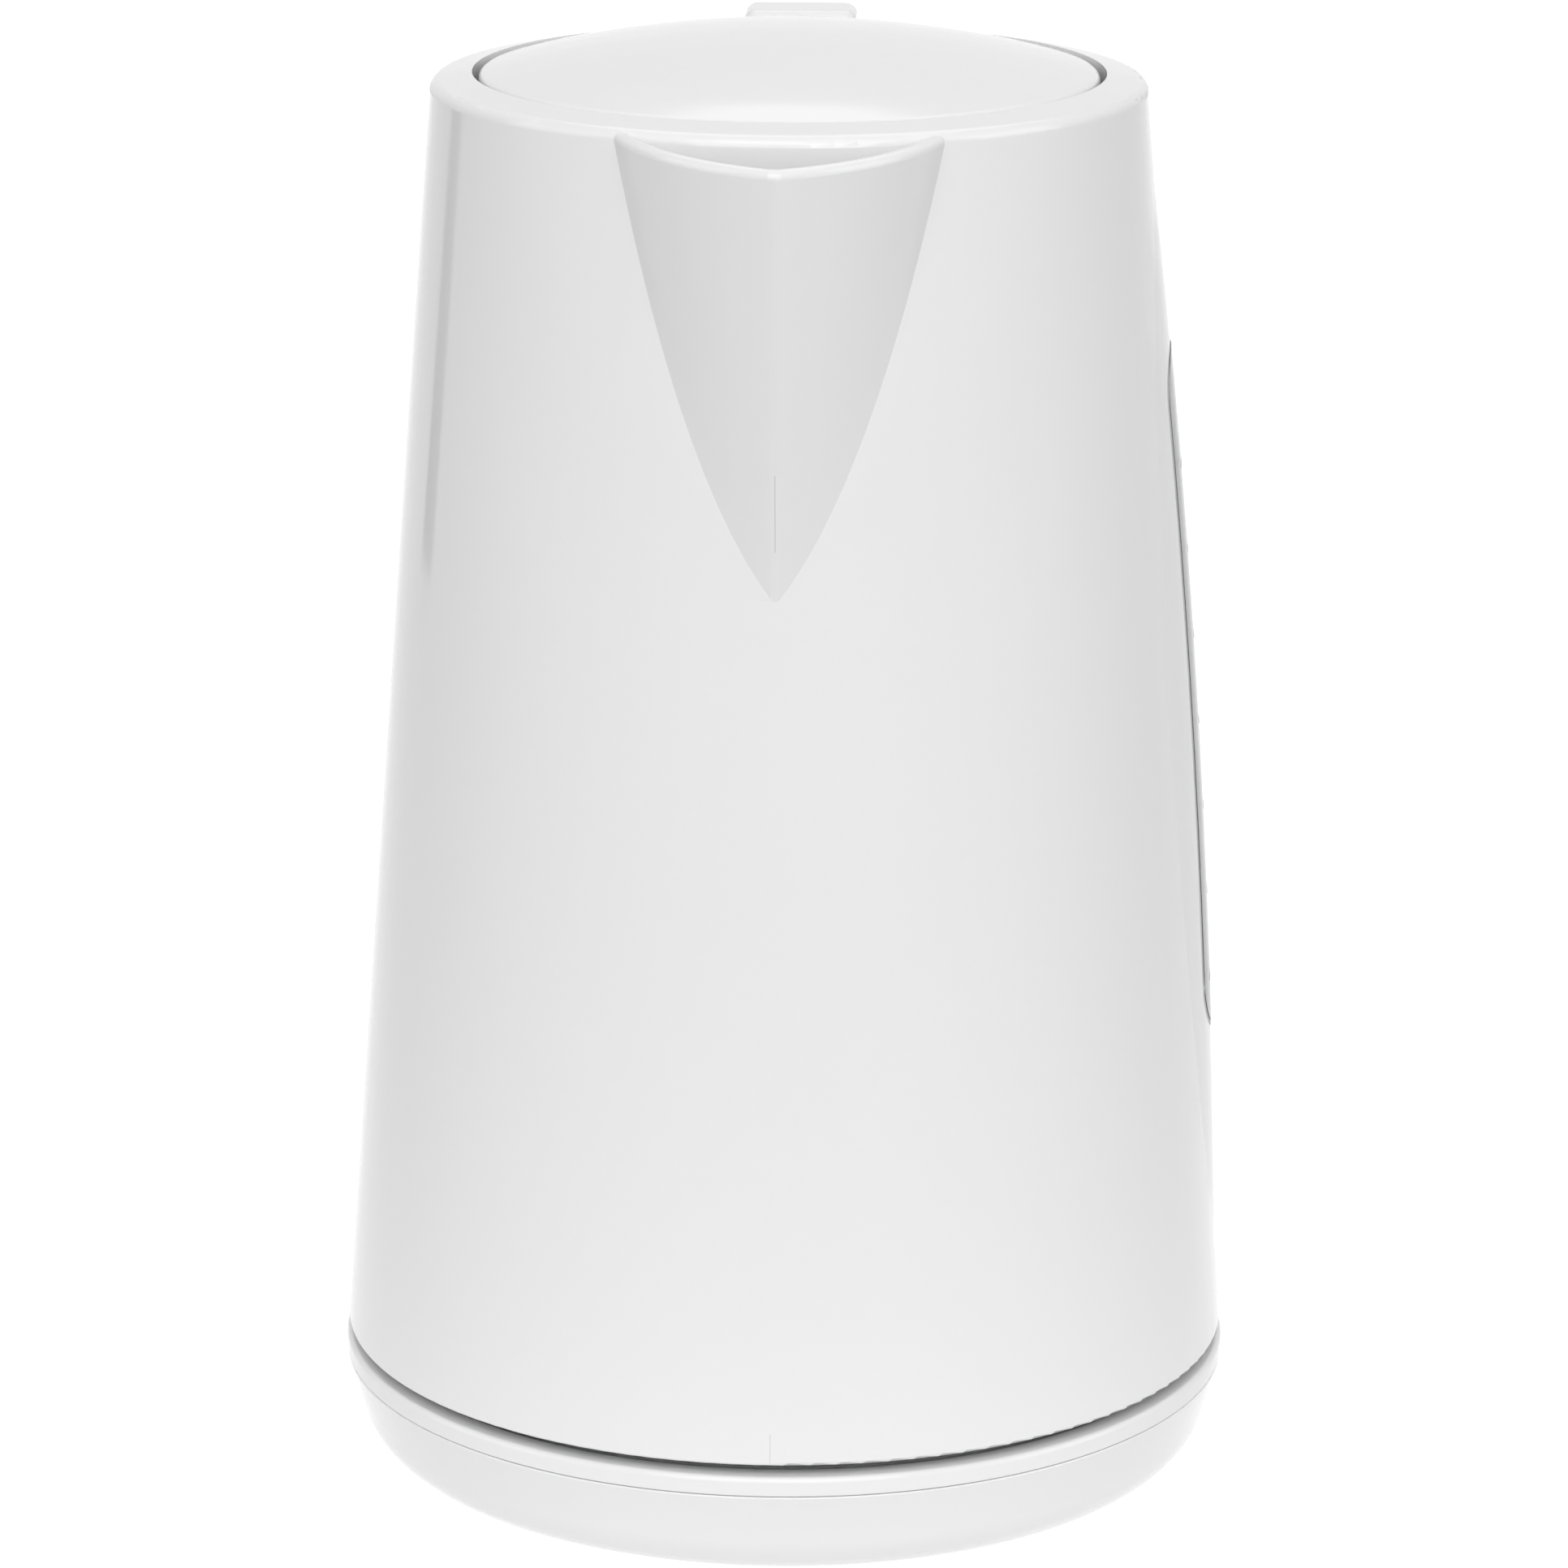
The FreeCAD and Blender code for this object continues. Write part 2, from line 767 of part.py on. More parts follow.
def make_base_foot_ring():
    """Rubber ring in the tray's seat, on which the kettle stands."""
    body = start_body("base_foot_ring")
    section = draw_box(
        sketch_on(body, "XZ_Plane"),
        foot_inner_radius,
        foot_inner_radius + size.foot_width,
        0,
        size.foot_drop + size.foot_seat_depth,
    )
    revolve(body, section)
    return body


def upright_screws(label, circle, head_bottom, length, count, start_angle=0):
    """Pan-head screws on a circle, heads down."""
    body = start_body(label)
    plane = sketch_on(body, "XZ_Plane")
    head_top = head_bottom + size.screw_head_height
    axis_line(plane, (circle, head_bottom), (circle, head_top + length))
    draw(
        plane,
        [
            (circle, head_bottom),
            (circle + size.screw_head_radius, head_bottom),
            (circle + size.screw_head_radius, head_top),
            (circle + size.screw_shank_radius, head_top),
            (circle + size.screw_shank_radius, head_top + length),
            (circle, head_top + length),
        ],
    )
    round_pattern(body, revolve(body, plane, "Axis0"), count)
    body.Placement = FreeCAD.Placement(
        FreeCAD.Vector(), FreeCAD.Rotation(FreeCAD.Vector(0, 0, 1), start_angle)
    )
    return body


def make_base_screws():
    """Three screws that hold the two base shells together from below."""
    return upright_screws(
        "base_screws", base_screw_circle, size.foot_drop, size.screw_length, base_screw_count
    )


def spout_ridge(height):
    """Distance of the spout's front ridge from the axis at a height."""
    lip = rim_edge - size.lip_drop
    top = outer_radius(lip) + size.spout_projection
    tip = outer_radius(lip - size.spout_drop)
    return top - (top - tip) * (lip - height) / size.spout_drop


def spout_section(body, height, inset):
    """Plan section of the spout: two side arcs that meet in a rounded nose, drawn in by an inset."""
    lip = rim_edge - size.lip_drop
    share = 1 - size.spout_taper_share * (lip - height) / size.spout_drop
    side = size.spout_side_radius * share
    nose = size.spout_nose_radius * share
    offset = size.spout_side_offset * share
    side_y = nose - spout_ridge(height) + root((side - nose) * (side - nose) - offset * offset)
    side_inner = side - inset
    reach = side_inner - nose
    rise = root(reach * reach - offset * offset)
    touch_x = nose * offset / reach
    touch_y = side_y - rise - nose * rise / reach
    back_y = side_y + root(side_inner * side_inner - offset * offset)
    return draw(
        sketch_on(body, "XY_Plane", height),
        [
            (0, back_y),
            Bend(side_inner, -1),
            (touch_x, touch_y),
            Bend(nose, -1),
            (-touch_x, touch_y),
            Bend(side_inner, -1),
        ],
    )


def lip_plane():
    """The sloping plane of the lip: its depth and height at the corners, and its fall per length forward."""
    back = size.jug_top_radius - size.lip_setback
    reach = spout_ridge(rim_edge - size.lip_drop) - back
    return back, rim_edge - size.lip_corner_drop, (size.lip_drop - size.lip_corner_drop) / reach


def round_lip(body, name, outside, radius):
    """Rounds the lip's outer or inner edge, told apart by how far forward the edge's ends reach."""
    middle = spout_ridge(rim_edge - size.lip_drop) - size.spout_wall / 2
    back, corner, fall = (part.value for part in lip_plane())
    shell = body.Tip
    edges = []
    for number, edge in enumerate(shell.Shape.Edges, start=1):
        ends = [vertex.Point for vertex in edge.Vertexes]
        level = all(abs(end.z - corner - fall * (end.y + back)) < 1e-3 for end in ends)
        if level and (max(-end.y for end in ends) > middle.value) == outside:
            edges.append(f"Edge{number}")
    rounding = body.newObject("PartDesign::Fillet", name)
    rounding.Base = (shell, edges)
    bind(rounding, "Radius", radius)
    doc.recompute()


def add_spout(body):
    """Spout shell: a lofted nose with its channel, cut along the lip; the cone is added over its back."""
    lip = rim_edge - size.lip_drop
    head = rim_edge + size.lip_head_room
    root_level = lip - size.spout_drop - size.spout_run_out
    loft(body, [spout_section(body, height, 0) for height in (head, root_level)])
    inside = [spout_section(body, height, size.spout_wall) for height in (head, root_level)]
    check_cut(body, loft(body, inside, "SubtractiveLoft"))
    back, corner, fall = lip_plane()
    front = spout_ridge(head) + size.lip_setback
    behind = size.lip_setback
    above = head + size.lip_head_room
    waste = draw(
        sketch_on(body, "YZ_Plane"),
        [
            (-front, above),
            (-front, corner - fall * (front - back)),
            (behind, corner + fall * (behind + back)),
            (behind, above),
        ],
    )
    pocket(body, waste, size.jug_foot_radius * 2, side="Symmetric")
    round_lip(body, "lip_inner_edge", False, size.lip_inner_rounding)
    round_lip(body, "lip_edge", True, size.lip_rounding)


def swell_point(along, out):
    """A point beside the gauge swell's centre: along the wall upwards, and out of the wall's surface."""
    level = jug_bottom + swell_centre
    across = 1 / root(1 + wall_slope * wall_slope)
    x = outer_radius(level) + (out - along * wall_slope) * across
    z = level + (along + out * wall_slope) * across
    return x, z


def swell_height(along, offset=0):
    """How far the swell's long arc, or an arc beside it, stands out of the wall."""
    radius = size.swell_length_radius + offset
    return size.swell_bulge - size.swell_length_radius + root(radius * radius - along * along)


def add_gauge_swell(body):
    """Shallow swelling of the wall round the gauge: a long arc turned about an axis parallel to the wall."""
    reach = swell_reach
    depth = size.swell_bulge - size.swell_round_radius
    end = swell_height(reach)
    plane = axis_line(sketch_on(body, "XZ_Plane"), swell_point(-reach, depth), swell_point(reach, depth))
    draw(
        plane,
        [
            swell_point(-reach, depth),
            swell_point(-reach, end),
            Bend(size.swell_length_radius, 1),
            swell_point(reach, end),
            swell_point(reach, depth),
        ],
    )
    revolve(body, plane, "Axis0")


def gauge_outline(sketch, margin):
    """Upright slot with rounded ends, drawn in from the gauge opening by a margin."""
    width = size.gauge_half_width - margin
    length = size.gauge_half_length - margin
    level = jug_bottom + size.gauge_centre
    return draw_box(sketch, -width, width, level - length, level + length, width - size.gauge_flat)


def add_jug_cavity(body):
    """Water space, heater seat and open foot, all turned in one cut."""
    head_room = size.rim_depth
    throat = rim_under - size.jug_wall
    skirt = collar_bottom - size.collar_skirt
    below = jug_bottom - size.jug_wall
    bite = collar_radius + size.clamp_bite
    profile = draw(
        sketch_on(body, "XZ_Plane"),
        [
            (0, rim_top + head_room),
            (opening_radius, rim_top + head_room),
            (opening_radius, rim_under),
            (inner_radius(throat), throat),
            (inner_radius(shoulder_top), shoulder_top),
            (shoulder_radius, shoulder_top),
            (shoulder_radius, shoulder_bottom),
            (collar_radius, shoulder_bottom),
            (collar_radius, flange_end + size.seat_gap),
            (bite, flange_end + size.seat_gap),
            (bite, clamp_bottom - size.seat_gap),
            (collar_radius, clamp_bottom - size.seat_gap),
            (collar_radius, collar_bottom),
            (inner_radius(skirt), skirt),
            (inner_radius(below), below),
            (0, below),
        ],
    )
    groove(body, profile)


def add_hinge_block(body):
    """Block across the back of the lid opening that carries the hinge pin, slotted for knuckles and spring."""
    ring = opening_radius + size.block_root
    half_chord = root(ring * ring - block_front * block_front)
    plan = draw(
        sketch_on(body, "XY_Plane", block_bottom),
        [(-half_chord, block_front), (half_chord, block_front), Bend(ring, 1)],
    )
    pad(body, plan, block_top - block_bottom)
    nose = size.block_nose - size.run_gap
    above = block_top + size.rim_rise
    corner = draw(
        sketch_on(body, "YZ_Plane"),
        [
            (lid_rear, above),
            (lid_rear, block_top - nose),
            (block_front, block_top - nose),
            Bend(nose, -1),
            (block_front + nose, block_top),
            (block_front + nose, above),
        ],
    )
    chord = root(opening_radius * opening_radius - block_front * block_front)
    pocket(body, corner, chord * 2, side="Symmetric")
    slot_rear = hinge_y + size.knuckle_radius + size.run_gap
    inner = size.knuckle_inner - size.run_gap
    outer = knuckle_outer + size.run_gap
    spans = ((inner, outer), (-outer, -inner), (-size.spring_slot_half_width, size.spring_slot_half_width))
    for left, right in spans:
        slot = sketch_on(body, "XY_Plane", rim_top + size.rim_rise)
        draw_box(slot, left, right, block_front - size.block_nose, slot_rear)
        pocket(body, slot, size.block_depth + size.rim_depth)
    bore = draw_circle(sketch_on(body, "YZ_Plane"), hinge_y, hinge_z, size.hinge_pin_radius + size.pin_gap)
    pocket(body, bore, pin_half_length * 2, side="Symmetric")


def add_filter_guides(body):
    """Two upright channels on the wall beside the spout window in which the filter frame slides down to a stop."""
    foot = filter_foot - size.guide_wall
    left = size.filter_half_width - size.guide_wall
    right = size.filter_half_width + size.guide_wall
    rear = filter_front + size.filter_thickness + size.guide_wall
    for side in (-1, 1):
        spans = sorted((left * side, right * side), key=lambda number: number.value)
        sections = []
        for level in (foot, filter_top):
            wall = inner_radius(level) + size.jug_wall / 2
            front = -root(wall * wall - right * right)
            sections.append(draw_box(sketch_on(body, "XY_Plane", level), spans[0], spans[1], front, rear))
        loft(body, sections)
        reach = (size.filter_half_width + size.run_gap) * side
        limits = sorted((0 * left, reach), key=lambda number: number.value)
        slot = draw_box(
            sketch_on(body, "XY_Plane", filter_foot - size.seat_gap),
            limits[0],
            limits[1],
            filter_front - size.run_gap,
            filter_front + size.filter_thickness + size.run_gap,
        )
        pocket(body, slot, size.filter_height + size.guide_wall, back=True)


def make_jug_body():
    """One moulding: cone, spout, rim ring with hinge block, gauge swell, heater seat, screw bosses and slots."""
    body = start_body("jug_body")
    add_spout(body)
    cone = draw(
        sketch_on(body, "XZ_Plane"),
        [
            (0, jug_bottom),
            (size.jug_foot_radius, jug_bottom, size.jug_edge_rounding),
            (size.jug_top_radius, rim_edge, size.rim_rounding),
            (opening_radius, rim_top),
            (0, rim_top),
        ],
    )
    revolve(body, cone)
    add_gauge_swell(body)
    add_jug_cavity(body)
    lip = rim_edge - size.lip_drop
    window_foot = lip - size.spout_drop + size.window_rise
    inset = size.spout_wall + size.window_ledge
    window = [
        spout_section(body, height, inset) for height in (rim_under - size.window_head_room, window_foot)
    ]
    check_cut(body, loft(body, window, "SubtractiveLoft"))
    pocket(body, gauge_outline(sketch_on(body, "YZ_Plane"), 0), size.jug_foot_radius * 2, back=True)
    add_hinge_block(body)
    add_filter_guides(body)
    latch_slot = draw_box(
        sketch_on(body, "XZ_Plane"),
        -size.latch_half_width - size.run_gap,
        size.latch_half_width + size.run_gap,
        latch_bottom - size.run_gap,
        latch_top + size.run_gap,
    )
    pocket(body, latch_slot, size.jug_foot_radius)
    steam_hole = draw_circle(
        sketch_on(body, "XZ_Plane"), 0, arm_level - size.steam_tube_offset, size.steam_hole_radius
    )
    pocket(body, steam_hole, size.jug_foot_radius)
    holes = sketch_on(body, "XZ_Plane")
    for side in (-1, 1):
        draw_circle(holes, size.handle_screw_spread * side, handle_screw_level, thread_hole_radius)
    pocket(body, holes, size.jug_foot_radius + size.jug_wall)
    centre = cover_screw_circle
    turn = sketch_on(body, "XZ_Plane")
    axis_line(turn, (-centre, cover_top), (-centre, collar_bottom))
    draw_box(
        turn,
        -centre - boss_radius + size.seat_gap,
        -centre - thread_hole_radius,
        cover_top + size.seat_gap,
        collar_bottom + size.seat_gap,
    )
    round_pattern(body, revolve(body, turn, "Axis0"), base_screw_count)
    return body


def gauge_band(label, outer_margin, inner_margin, proud):
    """A piece of the gauge: a band that follows the swell, trimmed to the slot's outline."""
    body = start_body(label)
    reach = size.gauge_half_length + size.gauge_half_width
    depth = size.swell_bulge - size.swell_round_radius
    thickness = size.lens_thickness
    plane = axis_line(sketch_on(body, "XZ_Plane"), swell_point(-reach, depth), swell_point(reach, depth))
    draw(
        plane,
        [
            swell_point(-reach, swell_height(reach, -thickness)),
            swell_point(-reach, swell_height(reach, proud)),
            Bend(size.swell_length_radius + proud, 1),
            swell_point(reach, swell_height(reach, proud)),
            swell_point(reach, swell_height(reach, -thickness)),
            Bend(size.swell_length_radius - thickness, -1),
        ],
    )
    revolve(body, plane, "Axis0", angle=half_turn / 2, middle=True)
    level = jug_bottom + size.gauge_centre
    around = sketch_on(body, "YZ_Plane")
    far = size.gauge_half_length * 2
    draw_box(around, -size.swell_round_radius, size.swell_round_radius, level - far, level + far)
    gauge_outline(around, outer_margin)
    pocket(body, around, size.jug_foot_radius * 2, back=True)
    if inner_margin is not None:
        pocket(
            body,
            gauge_outline(sketch_on(body, "YZ_Plane"), inner_margin),
            size.jug_foot_radius * 2,
            back=True,
        )
    return body


def make_gauge_gasket():
    """Thin gasket between the gauge lens and its slot."""
    return gauge_band("gauge_gasket", size.seat_gap, size.seat_gap + size.gasket_wall, as_size(0))


def make_gauge_window():
    """Clear lens through which the water level is read."""
    return gauge_band("gauge_window", size.seat_gap * 2 + size.gasket_wall, None, size.lens_proud)


def make_spout_filter_frame():
    """Flat plastic frame that slides down behind the spout window."""
    body = start_body("spout_filter_frame")
    width, border = size.filter_half_width, size.filter_border
    plane = sketch_on(body, "XZ_Plane", -filter_front)
    draw_box(plane, -width, width, filter_foot, filter_top)
    draw_box(plane, border - width, width - border, filter_foot + border, filter_top - border)
    pad(body, plane, size.filter_thickness, back=True)
    return body


def make_filter_mesh():
    """Fine mesh sheet held in the filter frame."""
    body = start_body("filter_mesh")
    width = size.filter_half_width - size.filter_border - size.seat_gap
    border = size.filter_border + size.seat_gap
    middle = filter_front + (size.filter_thickness - size.mesh_thickness) / 2
    plane = sketch_on(body, "XZ_Plane", -middle)
    draw_box(plane, -width, width, filter_foot + border, filter_top - border)
    pad(body, plane, size.mesh_thickness, back=True)
    return body


def make_heating_plate():
    """Stainless plate that closes the water space, with a flange turned down at its rim."""
    body = start_body("heating_plate")
    profile = draw(
        sketch_on(body, "XZ_Plane"),
        [
            (0, plate_top),
            (0, plate_bottom),
            (plate_radius - size.plate_thickness, plate_bottom),
            (plate_radius - size.plate_thickness, flange_end),
            (plate_radius, flange_end),
            (plate_radius, plate_top),
        ],
    )
    revolve(body, profile)
    return body


def make_plate_seal():
    """Silicone ring folded over the plate's rim, squeezed between plate, shoulder and collar."""
    body = start_body("plate_seal")
    profile = draw(
        sketch_on(body, "XZ_Plane"),
        [
            (shoulder_radius, plate_top),
            (plate_radius, plate_top),
            (plate_radius, flange_end),
            (plate_radius + size.seal_wall, flange_end),
            (plate_radius + size.seal_wall, shoulder_bottom),
            (shoulder_radius, shoulder_bottom),
        ],
    )
    revolve(body, profile)
    return body


def make_plate_clamp_ring():
    """Ring that snaps into the collar's groove and holds plate and seal up."""
    body = start_body("plate_clamp_ring")
    outer = collar_radius + size.clamp_bite - size.seat_gap
    section = draw_box(
        sketch_on(body, "XZ_Plane"), outer - size.clamp_width, outer, clamp_bottom, flange_end
    )
    revolve(body, section)
    return body


def make_heat_spreader():
    """Aluminium disc brazed under the plate."""
    body = start_body("heat_spreader")
    section = draw_box(sketch_on(body, "XZ_Plane"), 0, size.spreader_radius, spreader_bottom, plate_bottom)
    revolve(body, section)
    return body


def make_heating_element():
    """Sheathed element: a nearly closed ring whose two cold tails turn out to the back."""
    body = start_body("heating_element")
    ring, bend = size.element_ring_radius, size.element_bend_radius
    tail = size.element_tail_spacing
    reach = ring + bend
    bend_y = root(reach * reach - (tail + bend) * (tail + bend))
    touch_x = (tail + bend) * ring / reach
    touch_y = bend_y * ring / reach
    end_y = bend_y + size.element_tail_length
    path = sketch_on(body, "XY_Plane", element_level)
    draw(
        path,
        [
            (-tail, end_y),
            (-tail, bend_y),
            Bend(bend, -1),
            (-touch_x, touch_y),
            Bend(ring, 1),
            (0, -ring),
            Bend(ring, 1),
            (touch_x, touch_y),
            Bend(bend, -1),
            (tail, bend_y),
            (tail, end_y),
        ],
        closed=False,
    )
    section = draw_circle(
        sketch_on(body, "XZ_Plane", -end_y), -tail, element_level, size.element_tube_radius
    )
    sweep(body, section, path)
    return body


def make_control_unit():
    """Block with the boil-dry thermostats and the jug's terminals, under the element."""
    body = start_body("control_unit")
    width, depth = size.control_half_width, size.control_half_depth
    plan = sketch_on(body, "XY_Plane", control_bottom)
    draw_box(plan, -width, width, -depth, depth, size.control_rounding)
    pad(body, plan, size.control_height)
    return body


def make_jug_socket():
    """Cup that drops over the base's turret when the jug is set down."""
    body = start_body("jug_socket")
    well = socket_radius - size.socket_wall
    profile = draw(
        sketch_on(body, "XZ_Plane"),
        [
            (0, control_bottom - size.seat_gap),
            (0, socket_ceiling),
            (well, socket_ceiling),
            (well, jug_bottom),
            (socket_radius, jug_bottom),
            (socket_radius, control_bottom - size.seat_gap),
        ],
    )
    revolve(body, profile)
    return body


def make_socket_pins():
    """Centre pin and ring pin that reach down into the turret."""
    body = start_body("socket_pins")
    centre = draw_box(sketch_on(body, "XZ_Plane"), 0, size.centre_pin_radius, pin_tip, socket_ceiling)
    revolve(body, centre)
    ring = draw_box(
        sketch_on(body, "XZ_Plane"), size.ring_pin_radius, ring_pin_outer, pin_tip, socket_ceiling
    )
    revolve(body, ring)
    return body


def make_underside_cover():
    """Disc that closes the jug's foot, with the ring on which the jug stands on the deck."""
    body = start_body("underside_cover")
    hole = socket_radius + size.run_gap
    edge = inner_radius(cover_bottom) - size.run_gap
    foot, width = cover_foot_radius, size.cover_foot_width
    profile = draw(
        sketch_on(body, "XZ_Plane"),
        [
            (hole, cover_bottom),
            (foot, cover_bottom),
            (foot, size.deck_height + size.run_gap),
            (foot + width, size.deck_height + size.run_gap),
            (foot + width, cover_bottom),
            (edge, cover_bottom),
            (edge, cover_top),
            (hole, cover_top),
        ],
    )
    revolve(body, profile)
    centre = cover_screw_circle
    plan = sketch_on(body, "XY_Plane", cover_top)
    draw_circle(plan, -centre, 0, thread_hole_radius)
    round_pattern(body, pocket(body, plan, size.cover_thickness), base_screw_count)
    return body


def make_cover_screws():
    """Three screws that hold the underside cover to the jug."""
    return upright_screws(
        "cover_screws",
        cover_screw_circle,
        cover_bottom - size.screw_head_height,
        size.cover_screw_length,
        base_screw_count,
        half_turn,
    )


def handle_spine(body):
    """Middle line of the handle: level arm, rounded shoulder, leaning grip, rounded foot, arm back to the jug."""
    return draw(
        sketch_on(body, "YZ_Plane"),
        [
            (outer_radius(arm_level) - size.frame_depth, arm_level),
            (shoulder_y, arm_level, size.handle_shoulder_radius),
            (foot_y, foot_z, size.foot_corner_radius),
            (foot_y - size.foot_arm_run, foot_z - size.foot_arm_fall),
        ],
        closed=False,
    )


def handle_half(label, depth, rounding, gap, side):
    """A U-shaped half of the handle, open towards the other half, cut to the jug's cone."""
    body = start_body(label)
    width, wall = size.handle_half_width, size.handle_wall
    seam = arm_level + gap * side
    crown = arm_level + depth * side
    lining = arm_level + (depth - wall) * side
    path = handle_spine(body)
    section = sketch_on(body, "XZ_Plane", size.frame_depth - outer_radius(arm_level))
    draw(
        section,
        [
            (-width, seam),
            (-width, crown, rounding),
            (width, crown, rounding),
            (width, seam),
            (width - wall, seam),
            (width - wall, lining, rounding - wall),
            (wall - width, lining, rounding - wall),
            (wall - width, seam),
        ],
    )
    sweep(body, section, path)
    return body


def cut_to_jug(body):
    """Takes away what lies inside the jug's cone, so that the piece butts against the wall."""
    low = jug_bottom - size.jug_rest_gap
    cone = draw(
        sketch_on(body, "XZ_Plane"),
        [
            (0, low),
            (outer_radius(low) + size.seat_gap, low),
            (outer_radius(rim_top) + size.seat_gap, rim_top),
            (0, rim_top),
        ],
    )
    groove(body, cone)


def foot_point(along, out):
    """A point of the handle's foot arm: along it from the corner towards the jug, and out of its back."""
    y = foot_y - (along * size.foot_arm_run - out * size.foot_arm_fall) / foot_length
    z = foot_z - (along * size.foot_arm_fall + out * size.foot_arm_run) / foot_length
    return y, z


def foot_box(sketch, start, end, low, high, rounding=None):
    """A rectangle in the foot arm's own directions."""
    extra = () if rounding is None else (rounding,)
    corners = ((start, low), (start, high), (end, high), (end, low))
    return draw(sketch, [foot_point(along, out) + extra for along, out in corners])


def make_handle_frame():
    """Inner half of the handle, with a solid plug at its foot for the screws from the jug."""
    body = handle_half("handle_frame", size.frame_depth, size.frame_rounding, as_size(0), -1)
    wall_along = (foot_y - size.jug_foot_radius) * foot_length / size.foot_arm_run
    plug = sketch_on(body, "YZ_Plane")
    foot_box(
        plug,
        size.switch_along + size.switch_block_half_length + size.run_gap,
        wall_along + size.handle_plug_length,
        size.handle_wall / 2 - size.frame_depth,
        -size.seat_gap,
    )
    pad(body, plug, (size.handle_half_width - size.handle_wall + size.seat_gap) * 2, side="Symmetric")
    cut_to_jug(body)
    holes = sketch_on(body, "XZ_Plane")
    for side in (-1, 1):
        draw_circle(holes, size.handle_screw_spread * side, handle_screw_level, thread_hole_radius)
    pocket(body, holes, size.jug_foot_radius + size.handle_screw_length)
    return body


def make_handle_cover():
    """Outer half of the handle, with the button opening, the lever slot and a stop for the latch spring."""
    body = handle_half("handle_cover", size.cover_depth, size.cover_rounding, size.seat_gap, 1)
    stop_front = latch_spring_end
    stop = sketch_on(body, "YZ_Plane")
    draw_box(
        stop,
        stop_front,
        stop_front + size.spring_stop_thickness,
        arm_level + size.seat_gap,
        arm_level + size.cover_depth - size.handle_wall / 2,
    )
    pad(body, stop, (size.handle_half_width - size.handle_wall + size.seat_gap) * 2, side="Symmetric")
    cut_to_jug(body)
    opening = sketch_on(body, "XY_Plane", button_top)
    draw_box(
        opening,
        -size.button_half_width - size.run_gap,
        size.button_half_width + size.run_gap,
        button_front - size.run_gap,
        button_rear + size.run_gap,
        size.button_rounding + size.run_gap,
    )
    pocket(body, opening, button_top - arm_level - size.cover_depth + size.handle_wall * 2)
    slot = sketch_on(body, "YZ_Plane")
    foot_box(
        slot,
        size.switch_along - size.lever_half_length - size.lever_swing_gap,
        size.switch_along + size.lever_half_length + size.lever_swing_gap,
        size.switch_pivot,
        size.cover_depth * 2,
    )
    pocket(body, slot, (size.lever_half_width + size.run_gap) * 2, side="Symmetric")
    return body


def level_screws(label, x, level, head_end, length):
    """A pair of pan-head screws along Y, mirrored about the middle plane."""
    body = start_body(label)
    plane = sketch_on(body, "YZ_Plane", x)
    head_start = head_end - size.screw_head_height
    axis_line(plane, (head_start, level), (head_end + length, level))
    draw(
        plane,
        [
            (head_start, level),
            (head_end + length, level),
            (head_end + length, level + size.screw_shank_radius),
            (head_end, level + size.screw_shank_radius),
            (head_end, level + size.screw_head_radius),
            (head_start, level + size.screw_head_radius),
        ],
    )
    mirror(body, [revolve(body, plane, "Axis0")])
    return body


def make_handle_screws():
    """Two screws from inside the jug's foot into the handle frame."""
    wall = inner_radius(handle_screw_level + size.screw_head_radius)
    reach = size.handle_screw_spread + size.screw_head_radius
    seat = root(wall * wall - reach * reach) - size.seat_gap
    return level_screws(
        "handle_screws", size.handle_screw_spread, handle_screw_level, seat, size.handle_screw_length
    )


def make_steam_tube():
    """Tube that leads steam from the jug's top down the handle to the steam switch."""
    body = start_body("steam_tube")
    offset = size.steam_tube_offset
    level = arm_level - offset
    start_y = outer_radius(level) + size.run_gap
    lean = (shoulder_y - foot_y) / (arm_level - foot_z)
    end_z = foot_z + size.steam_tube_end
    path = sketch_on(body, "YZ_Plane")
    draw(
        path,
        [
            (start_y, level),
            (shoulder_y - offset, level, size.handle_shoulder_radius - offset),
            (shoulder_y - offset - lean * (level - end_z), end_z),
        ],
        closed=False,
    )
    section = sketch_on(body, "XZ_Plane", -start_y)
    draw_circle(section, 0, level, size.steam_tube_radius)
    draw_circle(section, 0, level, size.steam_tube_radius - size.steam_tube_wall)
    sweep(body, section, path)
    return body


def make_steam_switch():
    """Block in the handle's foot that carries the lever on two ears and trips when steam reaches its disc."""
    body = start_body("steam_switch")
    middle = size.switch_along
    block = sketch_on(body, "YZ_Plane")
    foot_box(
        block,
        middle - size.switch_block_half_length,
        middle + size.switch_block_half_length,
        size.switch_block_bottom,
        size.switch_block_top,
    )
    pad(body, block, size.switch_block_half_width * 2, side="Symmetric")
    ears = sketch_on(body, "YZ_Plane")
    foot_box(
        ears,
        middle - size.switch_ear_half_length,
        middle + size.switch_ear_half_length,
        size.switch_block_top - size.run_gap,
        size.switch_ear_top,
    )
    pad(body, ears, size.switch_block_half_width * 2, side="Symmetric")
    between = sketch_on(body, "YZ_Plane")
    foot_box(
        between,
        middle - size.switch_ear_half_length * 2,
        middle + size.switch_ear_half_length * 2,
        size.switch_block_top,
        size.switch_ear_top * 2,
    )
    pocket(body, between, (size.switch_block_half_width - size.switch_ear_wall) * 2, side="Symmetric")
    pivot = foot_point(middle, size.switch_pivot)
    bore = draw_circle(sketch_on(body, "YZ_Plane"), pivot[0], pivot[1], size.switch_pin_radius + size.pin_gap)
    pocket(body, bore, size.switch_block_half_width * 2, side="Symmetric")
    return body


